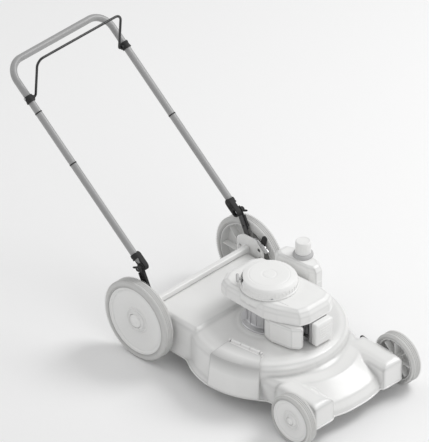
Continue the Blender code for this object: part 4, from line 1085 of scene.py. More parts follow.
@dataclass
class Wheel(Assembly):
    """One wheel: ribbed tyre, dished plastic disc and a hub cap."""

    end: str
    name: str
    side: int
    radius: float
    ribs: int

    def build(self) -> None:
        """Builds the tyre, its tread, the disc with its ribs and the cap."""
        label = f"{self.end}_{self.name}"
        body = f"{label}_roller"
        centre = middle(f"{label}_tyre")
        half = (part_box(f"{label}_tyre")[1].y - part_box(f"{label}_tyre")[0].y) / 2
        axis = "Y" if self.side > 0 else "-Y"
        r = self.radius
        seat = r * 0.84
        crown = r - 0.0012
        shoulder = crown - 0.0055
        side_wall = [(seat, half - 0.0015), (seat + 0.0030, half - 0.0002), (seat + 0.0038, half - 0.0020),
                     (seat + 0.0052, half - 0.0020), (seat + 0.0060, half - 0.0004),
                     (shoulder, half - 0.0030),
                     (crown - 0.0004, half - 0.0085)]
        grooves = []
        for place in (0.30, 0.0, -0.30):
            at = half * place
            grooves += [(crown, at + 0.0014), (crown - 0.0018, at + 0.0007), (crown - 0.0018, at - 0.0007),
                        (crown, at - 0.0014)]
        tyre = side_wall + grooves + [(radius, -across) for radius, across in reversed(side_wall)]
        skin = mark_edges(turned("tyre", rounded_profile(tyre, 0.0022, 4), centre, axis, 160, closed=True),
                          0.9, 0)
        facing = AXES[axis]
        treads = [skin]
        for sign in (1, -1):
            seed = seed_block((0.0012, 0.0019, half * 0.42), 0.0003, (-0.0002, 0, 0))
            turn = Matrix.Rotation(math.pi / self.ribs * (sign > 0), 3, "Z")
            treads.append(round_a_ring("ribs", seed, self.ribs, crown + 0.0003, Look.TYRE,
                                       centre + Vector((0, self.side * sign * half * 0.58, 0)),
                                       facing @ turn))
        self.add(joined(treads, "tyre"), f"{label}_tread", Look.TYRE, body, "tyre_rubber", (f"{label}_tyre",))

        rim = seat - 0.0004
        boss = 0.030 if r > 0.12 else 0.0185
        deep = half - (0.0085 if r > 0.12 else 0.0075)
        disc = rounded_profile([
            (0.0068, deep), (boss - 0.0035, deep), (boss - 0.0028, half - 0.001), (boss, half - 0.001),
            (boss + 0.004, deep - 0.002), (boss + 0.012, deep - 0.002), (boss + 0.0135, deep + 0.0005),
            (boss + 0.017, deep + 0.0005), (boss + 0.0185, deep - 0.002), (rim - 0.020, deep + 0.0008),
            (rim - 0.012, deep + 0.0008), (rim - 0.0095, half - 0.0045), (rim - 0.0075, half - 0.0016),
            (rim, half - 0.0018), (rim, 0.002 - half), (rim - 0.0045, 0.002 - half),
            (rim - 0.008, half - 0.014),
            (boss + 0.003, deep - 0.0065), (boss, 0.004 - half), (0.0068, 0.004 - half)], 0.0013, 3)
        face = mark_edges(turned("disc", disc, centre, axis, 128, closed=True), 1.4, 0)
        parts = [face]
        spoke = rim - boss - 0.012
        seed = seed_block((spoke, 0.0026, half + deep - 0.012), 0.0006,
                          (0, 0, 0))
        depth = (deep - 0.008 + (0.004 - half)) / 2
        parts.append(round_a_ring("ribs", seed, 8, boss + 0.002 + spoke / 2, Look.WHEEL,
                                  centre + facing @ Vector((0, 0, depth)), facing))
        wheel = joined(parts, "wheel")
        self.add(wheel, f"{label}_disc", Look.WHEEL, body, "wheel_plastic", (f"{label}_wheel",))
        cap_r = boss - 0.0046
        cap = rounded_profile([(0, half - 0.0002), (cap_r * 0.32, half - 0.0003),
                               (cap_r * 0.38, half - 0.0012),
                               (cap_r * 0.62, half - 0.0012), (cap_r * 0.68, half - 0.0004),
                               (cap_r - 0.002, half - 0.0012),
                               (cap_r, half - 0.0035), (cap_r, deep + 0.0003), (0, deep + 0.0003)], 0.0008, 3)
        self.add(turned("cap", cap, centre, axis, 64), f"{label}_cap", Look.WHEEL, body, "wheel_plastic",
                 (f"{label}_hub_cap",))


@dataclass
class Axle(Assembly):
    """A cranked axle: rod across the deck, crank plates, stubs and a height lever."""

    end: str
    pivot: tuple[float, float]
    wheel: tuple[float, float]
    crank_inner: float
    stub_out: float
    lean: float
    reach: float

    def build(self) -> None:
        """Builds the axle and its lever with the knob."""
        body = f"{self.end}_axle_arm"
        at, hub = spot(self.pivot[0], 0, self.pivot[1]), spot(self.wheel[0], 0, self.wheel[1])
        outer = self.crank_inner + 0.003
        reach = outer - 0.0005
        parts = [turned("rod", rounded_profile([(0, reach), (0.006, reach), (0.006, -reach), (0, -reach)],
                                               0.0006),
                        at, "Y", 40)]
        for _, side in SIDES:
            shape = slot_outline(at, hub, 0.011)
            parts.append(plate_piece("crank", shape, side * self.crank_inner, side * outer, 0.0006))
            axis = "Y" if side > 0 else "-Y"
            stub = rounded_profile([(0, self.stub_out - 0.0005), (0.0045, self.stub_out - 0.0005),
                                    (0.006, self.stub_out - 0.002),
                                    (0.006, outer - 0.001), (0, outer - 0.001)], 0.0004)
            parts.append(turned("stub", stub, Vector((hub.x, 0, hub.z)), axis, 40))
        axle = joined(parts, "axle")
        self.add(axle, f"{self.end}_cranked_axle", Look.STEEL, body, "bare_steel", (f"{self.end}_axle",))
        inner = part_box(f"{self.end}_height_lever")[0].y
        tip = Vector((at.x + self.reach * math.sin(self.lean), 0, at.z + self.reach * math.cos(self.lean)))
        lever = plate_piece("lever", slot_outline(at, tip, 0.008), inner, inner + 0.003, 0.0007)
        self.add(lever, f"{self.end}_lever_arm", Look.STEEL, body, "bare_steel",
                 (f"{self.end}_height_lever",))
        start = at + (tip - at) * ((self.reach - 0.026) / self.reach)
        knob = plate_piece("knob", slot_outline(start, tip, 0.011), inner - 0.0022, inner + 0.0052, 0.0022)
        ribs = in_a_row("ribs", seed_block((0.016, 0.0078, 0.0014), 0.0004), 5, (0, 0, 0.005),
                        Look.BLACK_PLASTIC,
                        Vector(), Matrix.Identity(3))
        ribs.data.transform(Matrix.Translation(start + Vector((0, inner + 0.0015, 0)))
                            @ Matrix.Rotation(self.lean, 4, "Y") @ Matrix.Translation((0, 0, 0.004)))
        self.add(joined([knob, ribs], "knob"), f"{self.end}_lever_grip", Look.BLACK_PLASTIC, body,
                 "black_plastic",
                 (f"{self.end}_lever_knob",))


@dataclass
class Handle(Assembly):
    """The U-shaped tube with flattened ends, its brackets, the bail and the cable clips."""

    tube_r: float = 0.0127
    half: float = 0.231
    length: float = 0.837
    slope: float = math.radians(37.9)
    corner: float = 0.065
    bail_at: float = 0.696
    bail_arm: float = 0.151
    bail_half: float = 0.2015
    bail_lean: float = math.radians(86.4)
    pivot: Vector = field(default_factory=lambda: spot(-0.023, 0, 0.341))

    @property
    def way(self) -> Vector:
        """The direction up the tube."""
        return Vector((-math.cos(self.slope), 0, math.sin(self.slope)))

    @property
    def tilt(self) -> Matrix:
        """The turn that lays a ring's axis along the tube."""
        return Matrix.Rotation(-(math.pi / 2 - self.slope), 3, "Y")

    def build_tube(self) -> None:
        """Sweeps the tube and squeezes its ends flat round the pivot holes."""
        sections: list[tuple[Vector, tuple[float, float]]] = []
        flat, full = (0.0040, 0.0142), (self.tube_r, self.tube_r)
        right, left = Vector((0, -self.half, 0)), Vector((0, self.half, 0))

        def foot(side: Vector) -> list[tuple[Vector, tuple[float, float]]]:
            run = []
            for i in range(9):
                a = math.pi / 2 * i / 8
                along = -0.0142 * math.cos(a)
                run.append((self.pivot + side + self.way * along,
                            (flat[0], max(0.0006, flat[1] * math.sin(a)))))
            for i in range(1, 13):
                t = i / 12
                ease = t * t * (3 - 2 * t)
                along = 0.018 + 0.038 * t
                run.append((self.pivot + side + self.way * along,
                            (flat[0] + (full[0] - flat[0]) * ease, flat[1] + (full[1] - flat[1]) * ease)))
            return run

        top = self.pivot + self.way * self.length
        start, end = self.pivot + right + self.way * 0.05, self.pivot + left + self.way * 0.05
        sections += foot(right)
        for i in range(1, 24):
            sections.append((start.lerp(top + right, i / 26), full))
        sections += [(p, full) for p in bend(start, top + right, top + left, self.corner, 20)]
        for i in range(1, 12):
            sections.append(((top + right).lerp(top + left, 0.15 + 0.7 * i / 12), full))
        sections += [(p, full) for p in bend(top + right, top + left, end, self.corner, 20)]
        for i in range(1, 24):
            sections.append(((top + left).lerp(end, 3 / 26 + i / 26), full))
        sections += foot(left)[::-1]
        bm = bmesh.new()
        rings = []
        sides = 36
        outward = Vector((0, -1, 0))
        points = [p for p, _ in sections]
        for i, (point, (wide, thick)) in enumerate(sections):
            ahead = (points[min(i + 1, len(points) - 1)] - points[max(i - 1, 0)]).normalized()
            level = self.way.cross(Vector((0, 1, 0))).normalized()
            outward = ahead.cross(level).normalized()
            rings.append([bm.verts.new(point + outward * wide * math.cos(a) + level * thick * math.sin(a))
                          for a in (2 * math.pi * k / sides for k in range(sides))])
        for low, high in zip(rings, rings[1:]):
            for k in range(sides):
                bm.faces.new((low[k], low[(k + 1) % sides], high[(k + 1) % sides], high[k]))
        bm.faces.new(rings[0])
        bm.faces.new(rings[-1])
        tube = from_bmesh("tube", bm, 50)
        hole = bmesh.new()
        cylinder_into(hole, 0.0045, 0.6, self.pivot, "Y", 32)
        carve(tube, from_bmesh("hole", hole))
        self.add(tube, "handle_bar", Look.HANDLE, "handle", "handle_paint", ("handle_tube",))

    def build_sockets(self) -> None:
        """The black moulded sockets round the tube's ends: a collar, and a cheek on the inner side."""
        tilt = self.tilt
        for name, side in SIDES:
            axis_at = self.pivot + Vector((0, side * self.half, 0))
            bore = self.tube_r + 0.0001
            skin = bore + 0.0034
            collar = turned("collar", rounded_profile([
                (bore, 0.010), (skin - 0.0008, 0.010), (skin, 0.007), (skin, -0.001), (skin - 0.0010, -0.002),
                (skin - 0.0010, -0.004), (skin, -0.005), (skin, -0.010), (bore, -0.010)], 0.0008),
                axis_at + self.way * 0.042, steps=56, closed=True, tilt=tilt)
            inner = self.half - self.tube_r - 0.0026
            cheek = plate_piece("cheek", slot_outline(self.pivot, self.pivot + self.way * 0.040, 0.0160),
                                side * inner, side * (self.half + 0.0037), 0.0012,
                                [(self.pivot.x, self.pivot.z, 0.0112)])
            across = self.way.cross(Vector((0, 1, 0))) * 0.0085
            ribs = [plate_piece("rib", slot_outline(self.pivot + self.way * 0.018 + across * sign,
                                                    self.pivot + self.way * 0.034 + across * sign, 0.0016),
                                side * (inner - 0.0014), side * (inner + 0.0006), 0.0005)
                    for sign in (-1, 0, 1)]
            self.add(joined([collar, cheek, *ribs], "socket"), f"tube_socket_{name}", Look.BLACK_PLASTIC,
                     "handle",
                     "black_plastic")

    def build_covers(self) -> None:
        """The black moulded covers over the upper half of the straps, with their stiffening ribs."""
        across = Vector((0.894, 0, 0.447))
        for name, side in SIDES:
            low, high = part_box(f"handle_strap_{name}")
            outer = (high.y if side > 0 else -low.y) + 0.0002
            lower = self.pivot + Vector((0.027, 0, -0.054))
            plate = plate_piece("plate", slot_outline(self.pivot, lower, 0.0165), side * outer,
                                side * (outer + 0.0022),
                                0.0008, [(self.pivot.x, self.pivot.z, 0.0118)])
            rims = []
            for sign in (-1, 1):
                shift = across * 0.0143 * sign
                rims.append(plate_piece("rim",
                                        slot_outline(self.pivot.lerp(lower, 0.32) + shift, lower + shift,
                                                     0.0018),
                                        side * (outer + 0.0010), side * (outer + 0.0080), 0.0007))
            for share in (0.45, 0.68, 0.90):
                at = self.pivot.lerp(lower, share)
                reach = across * 0.0135
                rims.append(plate_piece("web", slot_outline(at - reach, at + reach, 0.0010),
                                        side * (outer + 0.0010),
                                        side * (outer + 0.0062), 0.0004))
            self.add(joined([plate, *rims], "cover"), f"fold_cover_{name}", Look.BLACK_PLASTIC, "root",
                     "black_plastic")

    def build_clips(self) -> None:
        """Black clips along the two tubes."""
        tilt = self.tilt
        marks = (("right", -1, 0.427), ("right", -1, 0.640), ("left", 1, 0.406))
        for i, (name, side, along) in enumerate(marks):
            centre = self.pivot + self.way * along + Vector((0, side * self.half, 0))
            profile = rounded_profile([(self.tube_r + 0.0001, 0.0022), (self.tube_r + 0.0010, 0.0022),
                                       (self.tube_r + 0.0010, -0.0022), (self.tube_r + 0.0001, -0.0022)],
                                      0.0005, 3)
            clip = turned("clip", profile, centre, steps=48, closed=True, tilt=tilt)
            self.add(clip, f"cable_clip_{name}_{i}", Look.BLACK_PLASTIC, "handle", "black_plastic")

    def build_bail(self) -> None:
        """The bent wire and its two brackets."""
        pin = self.pivot + self.way * self.bail_at
        arm = Vector((math.cos(self.bail_lean), 0, math.sin(self.bail_lean))) * self.bail_arm
        reach = self.half - self.tube_r - 0.0015
        feet = [pin + Vector((0, side * self.bail_half, 0)) for side in (-1, 1)]
        tops = [foot + arm for foot in feet]
        ends = [pin + Vector((0, side * reach, 0)) for side in (-1, 1)]
        path = [ends[0]] + bend(ends[0], feet[0], tops[0], 0.009, 10) + bend(feet[0], tops[0], tops[1], 0.028,
                                                                             16)
        path += bend(tops[0], tops[1], feet[1], 0.028, 16) + bend(tops[1], feet[1], ends[1], 0.009,
                                                                  10) + [ends[1]]
        wire = rod("bail", path, [(0.0045, 0.0045)], 20, Vector((1, 0, 0.01)))
        self.add(wire, "bail_wire", Look.BLACK_PAINT, "bail", "black_steel", ("bail_rod",))
        tilt = self.tilt
        for name, side in SIDES:
            at = pin + Vector((0, side * self.half, 0))
            shell = self.tube_r + 0.0035
            collar = turned("collar", rounded_profile([
                (self.tube_r + 0.0003, 0.013), (shell, 0.013), (shell, 0.0055), (shell - 0.0012, 0.0045),
                (shell - 0.0012, -0.0045), (shell, -0.0055), (shell, -0.013), (self.tube_r + 0.0003, -0.013)],
                                                      0.001),
                at, steps=56, closed=True, tilt=tilt)
            inner, outer = self.bail_half + 0.0105, self.half - self.tube_r * 0.6
            boss = turned("boss", rounded_profile([(0.0052, -0.5 * (outer - inner)),
                                                   (0.0094, -0.5 * (outer - inner)),
                                                   (0.0094, 0.5 * (outer - inner)),
                                                   (0.0052, 0.5 * (outer - inner))], 0.001),
                          Vector((pin.x, side * (inner + outer) / 2, pin.z)), "Y", 40, closed=True)
            screw = seed_bolt(0.0030, 0.0026)
            screw.data.transform(Matrix.Translation(at + tilt @ Vector((0, side * (shell - 0.0002), 0.0090)))
                                 @ AXES["Y" if side > 0 else "-Y"].to_4x4())
            screw.data.materials.clear()
            screw.data.materials.append(Look.STEEL.material())
            bracket = joined([collar, boss], "bracket")
            self.add(bracket, f"bail_clamp_{name}", Look.BLACK_PLASTIC, "handle", "black_plastic",
                     (f"bail_bracket_{name}",))
            self.add(screw, f"bail_clamp_screw_{name}", Look.STEEL, "handle", "bare_steel")

    def build_mounts(self) -> None:
        """Straps, bolts and wing knobs at the fold."""
        foot = self.pivot + Vector((0.050, 0, -0.100))
        for name, side in SIDES:
            low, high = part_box(f"handle_strap_{name}")
            inner, outer = (low.y, high.y) if side > 0 else (high.y, low.y)
            middle_at = (self.pivot + foot) / 2
            holes = [(self.pivot.x, self.pivot.z, 0.0043), (foot.x, foot.z, 0.0043),
                     (middle_at.x, middle_at.z, 0.0035)]
            strap = plate_piece("strap", slot_outline(self.pivot, foot, 0.0125), inner, outer, 0.0007, holes)
            self.add(strap, f"fold_strap_{name}", Look.BLACK_PAINT, "root", "black_steel",
                     (f"handle_strap_{name}",))
            facing = AXES["Y" if side > 0 else "-Y"]
            head = rounded_profile([(0, 0.0036), (0.0050, 0.0034), (0.0080, 0.0018), (0.0085, 0.0003),
                                    (0.0085, 0.0),
                                    (0.0040, 0.0), (0.0040, -0.0060), (0, -0.0060)], 0.0006)
            bolt = turned("bolt", head, Vector((foot.x, outer + side * 0.0003, foot.z)), steps=48,
                          tilt=facing)
            self.add(bolt, f"strap_lower_bolt_{name}", Look.STEEL, "root", "bare_steel",
                     (f"strap_bolt_{name}",))
            low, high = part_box(f"pivot_bolt_{name}")
            tip, root = (high.y, low.y) if side > 0 else (-low.y, -high.y)
            shank = rounded_profile([(0, tip), (0.0032, tip), (0.0040, tip - 0.0008), (0.0040, root + 0.0033),
                                     (0.0088, root + 0.0033), (0.0095, root + 0.0022),
                                     (0.0070, root + 0.0004),
                                     (0, root)], 0.0003)
            pin = turned("pin", shank, Vector((self.pivot.x, 0, self.pivot.z)), steps=40, tilt=facing)
            self.add(pin, f"fold_pivot_bolt_{name}", Look.STEEL, "root", "bare_steel",
                     (f"pivot_bolt_{name}",))
            self.build_knob(name, side, facing, abs(outer) + 0.0003)

    def build_knob(self, name: str, side: int, facing: Matrix, inner: float) -> None:
        """A moulded wing knob: a round hub and two rounded wings."""
        hub = turned("hub", rounded_profile([
            (0.0043, 0.018), (0.0085, 0.018), (0.0105, 0.0155), (0.0100, 0.005), (0.0110, 0.003), (0.0110, 0),
            (0.0043, 0)], 0.0008), Vector((self.pivot.x, side * inner, self.pivot.z)), steps=48, closed=True,
                     tilt=facing)
        wings = bmesh.new()
        for sign in (-1, 1):
            corners = [Vector((sign * x, side * (inner + 0.009 + y), z)) for x, y, z in (
                (0.0205, 0.0118, 0.0022), (0.0205, 0.0118, -0.0022), (0.0208, 0.0080, 0.0022),
                (0.0208, 0.0080, -0.0022),
                (0.0165, 0.0118, 0.0026), (0.0165, 0.0118, -0.0026), (0.0070, 0.0050, 0.0030),
                (0.0070, 0.0050, -0.0030),
                (0.0085, -0.0060, 0.0028), (0.0085, -0.0060, -0.0028))]
            hull_into(wings, [Vector((self.pivot.x, 0, self.pivot.z)) + c for c in corners])
        blades = bevelled(from_bmesh("wings", wings), 0.0012, 3)
        knob = joined([hub, blades], "knob")
        self.add(knob, f"wing_nut_{name}", Look.BLACK_PLASTIC, f"knob_{name}", "black_plastic",
                 (f"wing_knob_{name}",))

    def build(self) -> None:
        """Builds the whole handle."""
        self.build_tube()
        self.build_sockets()
        self.build_covers()
        self.build_clips()
        self.build_bail()
        self.build_mounts()


@dataclass
class Engine(Assembly):
    """The vertical-shaft engine: crankcase, finned cylinder, covers, tank, exhaust and air cleaner."""

    spindle_ahead: float = 0.360
    voxel: float = 0.003
    plan: tuple[tuple[float, float], ...] = (
        (0.195, -0.050), (0.215, -0.088), (0.250, -0.101), (0.430, -0.101), (0.480, -0.084), (0.553, -0.046),
        (0.565, -0.010), (0.565, 0.085), (0.548, 0.118), (0.500, 0.128), (0.290, 0.110), (0.215, 0.105),
        (0.195, 0.070))

    @property
    def spindle(self) -> Vector:
        """The crankshaft's axis on the ground."""
        return spot(self.spindle_ahead, 0, 0)

    def level(self, corners: Sequence[tuple[float, float]], up: float, inset: float = 0.0) -> list[Vector]:
        """Level corners, pulled towards their middle by inset."""
        centre = Vector((sum(c[0] for c in corners), sum(c[1] for c in corners))) / len(corners)
        points = []
        for corner in corners:
            out = Vector(corner) - centre
            at = centre + out * (1 - inset / out.length)
            points.append(spot(at.x, at.y, up))
        return points

    def build_shroud(self) -> None:
        """The white cover with its turned-in lip and a crease along its side."""
        bm = bmesh.new()
        hull_into(bm, self.level(self.plan, 0.275) + self.level(self.plan, 0.318)
                  + self.level(self.plan, 0.333, 0.007) + self.level(self.plan, 0.343, 0.022))
        cylinder_into(bm, 0.1085, 0.030, self.spindle + Vector((0, 0, 0.327)), "Z", 96, 0.106)
        shroud = melted("shroud", bm, self.voxel, 4)
        bm = bmesh.new()
        bm.from_mesh(shroud.data)
        bmesh.ops.bisect_plane(bm, geom=list(bm.verts) + list(bm.edges) + list(bm.faces),
                               plane_co=(0, 0, 0.2886), plane_no=(0, 0, -1), clear_outer=True)
        gone = [f for f in bm.faces if f.calc_center_median().z > 0.335
                and (f.calc_center_median() - self.spindle).xy.length < 0.090]
        bmesh.ops.delete(bm, geom=gone, context="FACES")
        bmesh.ops.remove_doubles(bm, verts=bm.verts, dist=0.0003)
        bm.to_mesh(shroud.data)
        bm.free()
        loops = [loop for loop in rim_loops(shroud) if loop[0].z < 0.30]
        lip = beaded("lip", loops, 0.0020)
        ends = [Vector((self.spindle.x - 0.045, -0.0715, 0.3428)),
                Vector((self.spindle.x + 0.137, -0.0435, 0.3428))]
        crease = rod("crease", [ends[0].lerp(ends[1], i / 8) for i in range(9)], [(0.0016, 0.0016)], 12)
        self.add(crease, "blower_housing_crease", Look.SHROUD, "root", "white_plastic")
        mark_edges(shroud, 0.7, 1)
        wall = shroud.modifiers.new("wall", "SOLIDIFY")
        wall.thickness = 0.0025
        wall.offset = -1
        settled(shroud, 60)
        self.add(shroud, "blower_housing", Look.SHROUD, "root", "white_plastic", ("engine_shroud",))
        self.add(lip, "blower_housing_lip", Look.SHROUD, "root", "white_plastic")

    def build_recoil(self) -> None:
        """The starter's round cover with its rim, rings, side vents, ears and screws."""
        radius, low = 0.1025, 0.3433
        cover = turned("cover", rounded_profile([
            (0.0, 0.0437), (0.020, 0.0437), (0.023, 0.0424), (0.026, 0.0424), (0.029, 0.0434),
            (0.068, 0.0432),
            (0.070, 0.0420), (0.0725, 0.0420), (0.0745, 0.0425), (0.091, 0.0375), (0.0965, 0.031),
            (0.0985, 0.026),
            (0.0990, 0.008), (0.1022, 0.006), (radius, 0.0045), (radius, 0.0), (0.0965, 0.0), (0.0965, 0.030),
            (0.088, 0.0345), (0.0, 0.0400)], 0.0016, 4), self.spindle + Vector((0, 0, low)), steps=144)
        ribs = round_a_ring("vents", seed_block((0.0030, 0.0032, 0.0135), 0.0006), 44, 0.0990, Look.SHROUD,
                            self.spindle + Vector((0, 0, low + 0.0165)))
        ears = []
        for degrees in (200, 320, 80):
            a = math.radians(degrees)
            at = self.spindle + Vector((0.0975 * math.cos(a), 0.0975 * math.sin(a), low + 0.0035))
            turn = Matrix.Rotation(a, 3, "Z")
            ears.append(box_piece("ear", (0.012, 0.024, 0.007), at, 0.0022, 3, turn))
        way, at, facing = self.pull()
        slot_bm = bmesh.new()
        block_into(slot_bm, (0.054, 0.026, 0.034), at + way * 0.018, facing)
        cover = carve(cover, bevelled(from_bmesh("slot", slot_bm), 0.004, 3))
        guide = turned("guide", rounded_profile([(0.0030, -0.002), (0.0030, 0.0022), (0.0048, 0.0030),
                                                 (0.0075, 0.0015),
                                                 (0.0078, -0.002)], 0.0006), at - way * 0.004, steps=32,
                       closed=True,
                       tilt=facing)
        shelf = box_piece("shelf", (0.060, 0.032, 0.0024), at - way * 0.0065, 0.0008, 2, facing)
        hole = bmesh.new()
        cylinder_into(hole, 0.0030, 0.02, Vector(), "Z", 24)
        bmesh.ops.transform(hole, verts=hole.verts,
                            matrix=Matrix.Translation(at - way * 0.0065) @ facing.to_4x4())
        shelf = carve(shelf, from_bmesh("hole", hole))
        body = joined([cover, ribs, *ears, guide, shelf], "cover")
        self.add(body, "starter_cover", Look.SHROUD, "root", "white_plastic", ("recoil_cover",))
        screws = []
        for degrees in (200, 320, 80):
            a = math.radians(degrees)
            screw = seed_bolt(0.0030, 0.0030)
            screw.data.transform(Matrix.Translation(self.spindle
                                                    + Vector((0.1000 * math.cos(a), 0.1000 * math.sin(a),
                                                                           low + 0.0069))))
            screws.append(screw)
        self.add(joined(screws, "screws"), "starter_cover_screws", Look.STEEL, "root", "bare_steel")

    def pull(self) -> tuple[Vector, Vector, Matrix]:
        """The way that the rope leaves, the grip's seat and the turn that takes +Z along the rope."""
        way = Vector((-0.62, -0.66, 0.42)).normalized()
        return way, self.spindle + Vector((-0.061, -0.066, 0.364)), way.to_track_quat("Z", "Y").to_matrix()

    def build_grip(self) -> None:
        """The T grip of the starter with its ferrule and rope."""
        way, at, facing = self.pull()
        bm = bmesh.new()
        hull_into(bm, [at + way * 0.020 + facing @ Vector((x, y, z)) for x in (-0.0215, 0.0215)
                       for y, z in ((-0.0052, -0.002), (0.0052, -0.002), (-0.0040, 0.0055),
                                    (0.0040, 0.0055))])
        bar = bevelled(from_bmesh("bar", bm), 0.0022, 4)
        neck = turned("neck", rounded_profile([(0, 0.020), (0.0054, 0.019), (0.0042, 0.010), (0.0052, 0.0045),
                                               (0, 0.004)],
                                              0.001), at, steps=32, tilt=facing)
        self.add(joined([bar, neck], "grip"), "pull_grip", Look.GREY_PLASTIC, "grip", "grey_plastic",
                 ("starter_grip",))
        rope = rod("rope", [at - way * 0.050, at - way * 0.020, at + way * 0.005], [(0.0020, 0.0020)], 12)
        self.add(rope, "pull_rope", Look.BLACK_PLASTIC, "grip", "grey_plastic")

    def build_tank(self) -> None:
        """The blow-moulded tank with its seam, neck, cap and collar."""
        low = ((0.255, 0.132), (0.275, 0.120), (0.415, 0.134), (0.440, 0.146), (0.440, 0.176), (0.415, 0.196),
               (0.285, 0.196), (0.255, 0.178))
        bm = bmesh.new()
        hull_into(bm, self.level(low, 0.2625, 0.010) + self.level(low, 0.272) + self.level(low, 0.352)
                  + self.level(low, 0.366, 0.008) + self.level(low, 0.3722, 0.020))
        neck = spot(0.348, 0.176, 0)
        tank = melted("tank", bm, self.voxel, 3)
        mark_edges(tank, 0.7)
        seam = [self.level(low, 0.312, -0.0004)]
        seam_loop = []
        for i, corner in enumerate(seam[0]):
            after = seam[0][(i + 1) % len(seam[0])]
            seam_loop += [corner.lerp(after, k / 6) for k in range(6)]
        for _ in range(3):
            seam_loop = [(seam_loop[i - 1] + seam_loop[i] * 2 + seam_loop[(i + 1) % len(seam_loop)]) / 4
                         for i in range(len(seam_loop))]
        bead = beaded("seam", [seam_loop], 0.0011)
        pipe = turned("neck", rounded_profile([(0.0185, 0.4195), (0.0213, 0.4195), (0.0213, 0.366),
                                               (0.0185, 0.366)], 0.0006),
                      neck, steps=64, closed=True)
        self.add(joined([tank, bead, pipe], "tank"), "tank_body", Look.SHROUD, "root", "white_plastic",
                 ("fuel_tank",))
        cap = turned("cap", rounded_profile([
            (0, 0.4308), (0.0205, 0.4308), (0.0216, 0.4318), (0.0240, 0.4316), (0.0260, 0.4298),
            (0.0266, 0.4268),
            (0.0266, 0.3890),
            (0.0275, 0.3880), (0.0275, 0.3862), (0.0219, 0.3862), (0.0219, 0.4204), (0, 0.4204)], 0.0016, 4),
            neck, steps=96)
        ribs = round_a_ring("ribs", seed_block((0.0016, 0.0024, 0.0310), 0.0005), 30, 0.0265, Look.SHROUD,
                            neck + Vector((0, 0, 0.4050)))
        self.add(joined([mark_edges(cap, 1.2, 0), ribs], "cap"), "filler_cap", Look.SHROUD, "cap_of_fuel",
                 "white_plastic", ("fuel_cap",))
        collar = turned("collar", rounded_profile([
            (0.0218, 0.3857), (0.0295, 0.3857), (0.0345, 0.3815), (0.0360, 0.3775), (0.0360, 0.3726),
            (0.0218, 0.3726)],
            0.0012), neck, steps=72, closed=True)
        self.add(collar, "filler_splash_collar", Look.GREY_PLASTIC, "root", "grey_plastic",
                 ("filler_collar",))

    def build_block(self) -> None:
        """Crankcase with ribs and a bolted base, finned barrel, head, plug and oil filler."""
        base = 0.1923
        case = turned("case", rounded_profile([
            (0.0135, 0.284), (0.060, 0.284), (0.0705, 0.280), (0.0775, 0.270), (0.0775, 0.228),
            (0.0785, 0.212),
            (0.0965, 0.2045), (0.0978, 0.203), (0.0978, base), (0.0135, base)], 0.003, 4), self.spindle,
                      steps=96,
            closed=True)
        ribs = round_a_ring("ribs", seed_block((0.012, 0.0032, 0.062), 0.001), 18, 0.0750, Look.ALLOY,
                            self.spindle + Vector((0, 0, 0.240)))
        fins = in_a_row("fins", seed_block((0.0028, 0.0875, 0.0835), 0.0008), 8, (0.0068, 0, 0), Look.ALLOY,
                        spot(0.4525, 0.012, 0.240))
        barrel = turned("barrel", [(0, 0.150), (0.0295, 0.150), (0.0295, 0.040), (0, 0.040)],
                        spot(self.spindle_ahead, 0.012, 0.240), "X", 64)
        self.add(joined([case, ribs, fins, barrel], "case"), "crankcase", Look.ALLOY, "root", "cast_alloy",
                 ("engine_block",))
        bolts = round_a_ring("bolts", seed_bolt(0.0042, 0.0045), 6, 0.0885, Look.STEEL,
                             self.spindle + Vector((0, 0, 0.2040)), None, (0, 0, 0))
        self.add(bolts, "crankcase_base_bolts", Look.STEEL, "root", "bare_steel")
        low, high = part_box("cylinder_head")
        centre = (low + high) / 2
        head = box_piece("head", (0.010, 0.0895, 0.0855), Vector((low.x + 0.0052, centre.y, centre.z)), 0.002,
                         3)
        head_fins = in_a_row("head_fins", seed_block((0.0165, 0.0028, 0.080), 0.0008), 9, (0, 0.0102, 0),
                             Look.ALLOY,
                             Vector((high.x - 0.0085, centre.y - 0.0408, centre.z)))
        self.add(joined([head, head_fins], "head"), "finned_head", Look.ALLOY, "root", "cast_alloy",
                 ("cylinder_head",))
        low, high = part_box("spark_plug")
        at = Vector((low.x, (low.y + high.y) / 2, (low.z + high.z) / 2))
        plug = turned("plug", rounded_profile([(0, 0.0278), (0.0058, 0.0270), (0.0064, 0.020),
                                               (0.0050, 0.012),
                                               (0.0064, 0.009), (0.0064, 0.0003), (0, 0.0003)], 0.0008), at,
                      "X", 40)
        self.add(plug, "plug_and_boot", Look.BLACK_PLASTIC, "root", "bare_steel", ("spark_plug",))
        oil = spot(0.300, 0.102, 0)
        pipe = turned("pipe", rounded_profile([
            (0.0080, 0.2620), (0.0110, 0.2620), (0.0110, 0.2560), (0.0098, 0.2545), (0.0098, 0.2120),
            (0.0110, 0.2100),
            (0.0110, 0.2067), (0.0080, 0.2067)], 0.0006), oil, steps=48, closed=True)
        self.add(pipe, "oil_fill_pipe", Look.GREY_PLASTIC, "root", "grey_plastic", ("oil_filler",))
        cap = turned("cap", rounded_profile([(0, 0.2758), (0.0135, 0.2758), (0.0155, 0.2735),
                                             (0.0155, 0.2624),
                                             (0.0075, 0.2624), (0.0072, 0.2522), (0, 0.2522)], 0.0008), oil,
                     steps=48)
        ribs = round_a_ring("ribs", seed_block((0.0010, 0.0018, 0.0080), 0.0003), 20, 0.0153,
                            Look.GREY_PLASTIC,
                            oil + Vector((0, 0, 0.2680)))
        self.add(joined([cap, ribs], "cap"), "oil_fill_cap", Look.GREY_PLASTIC, "cap_of_oil", "grey_plastic",
                 ("oil_cap",))

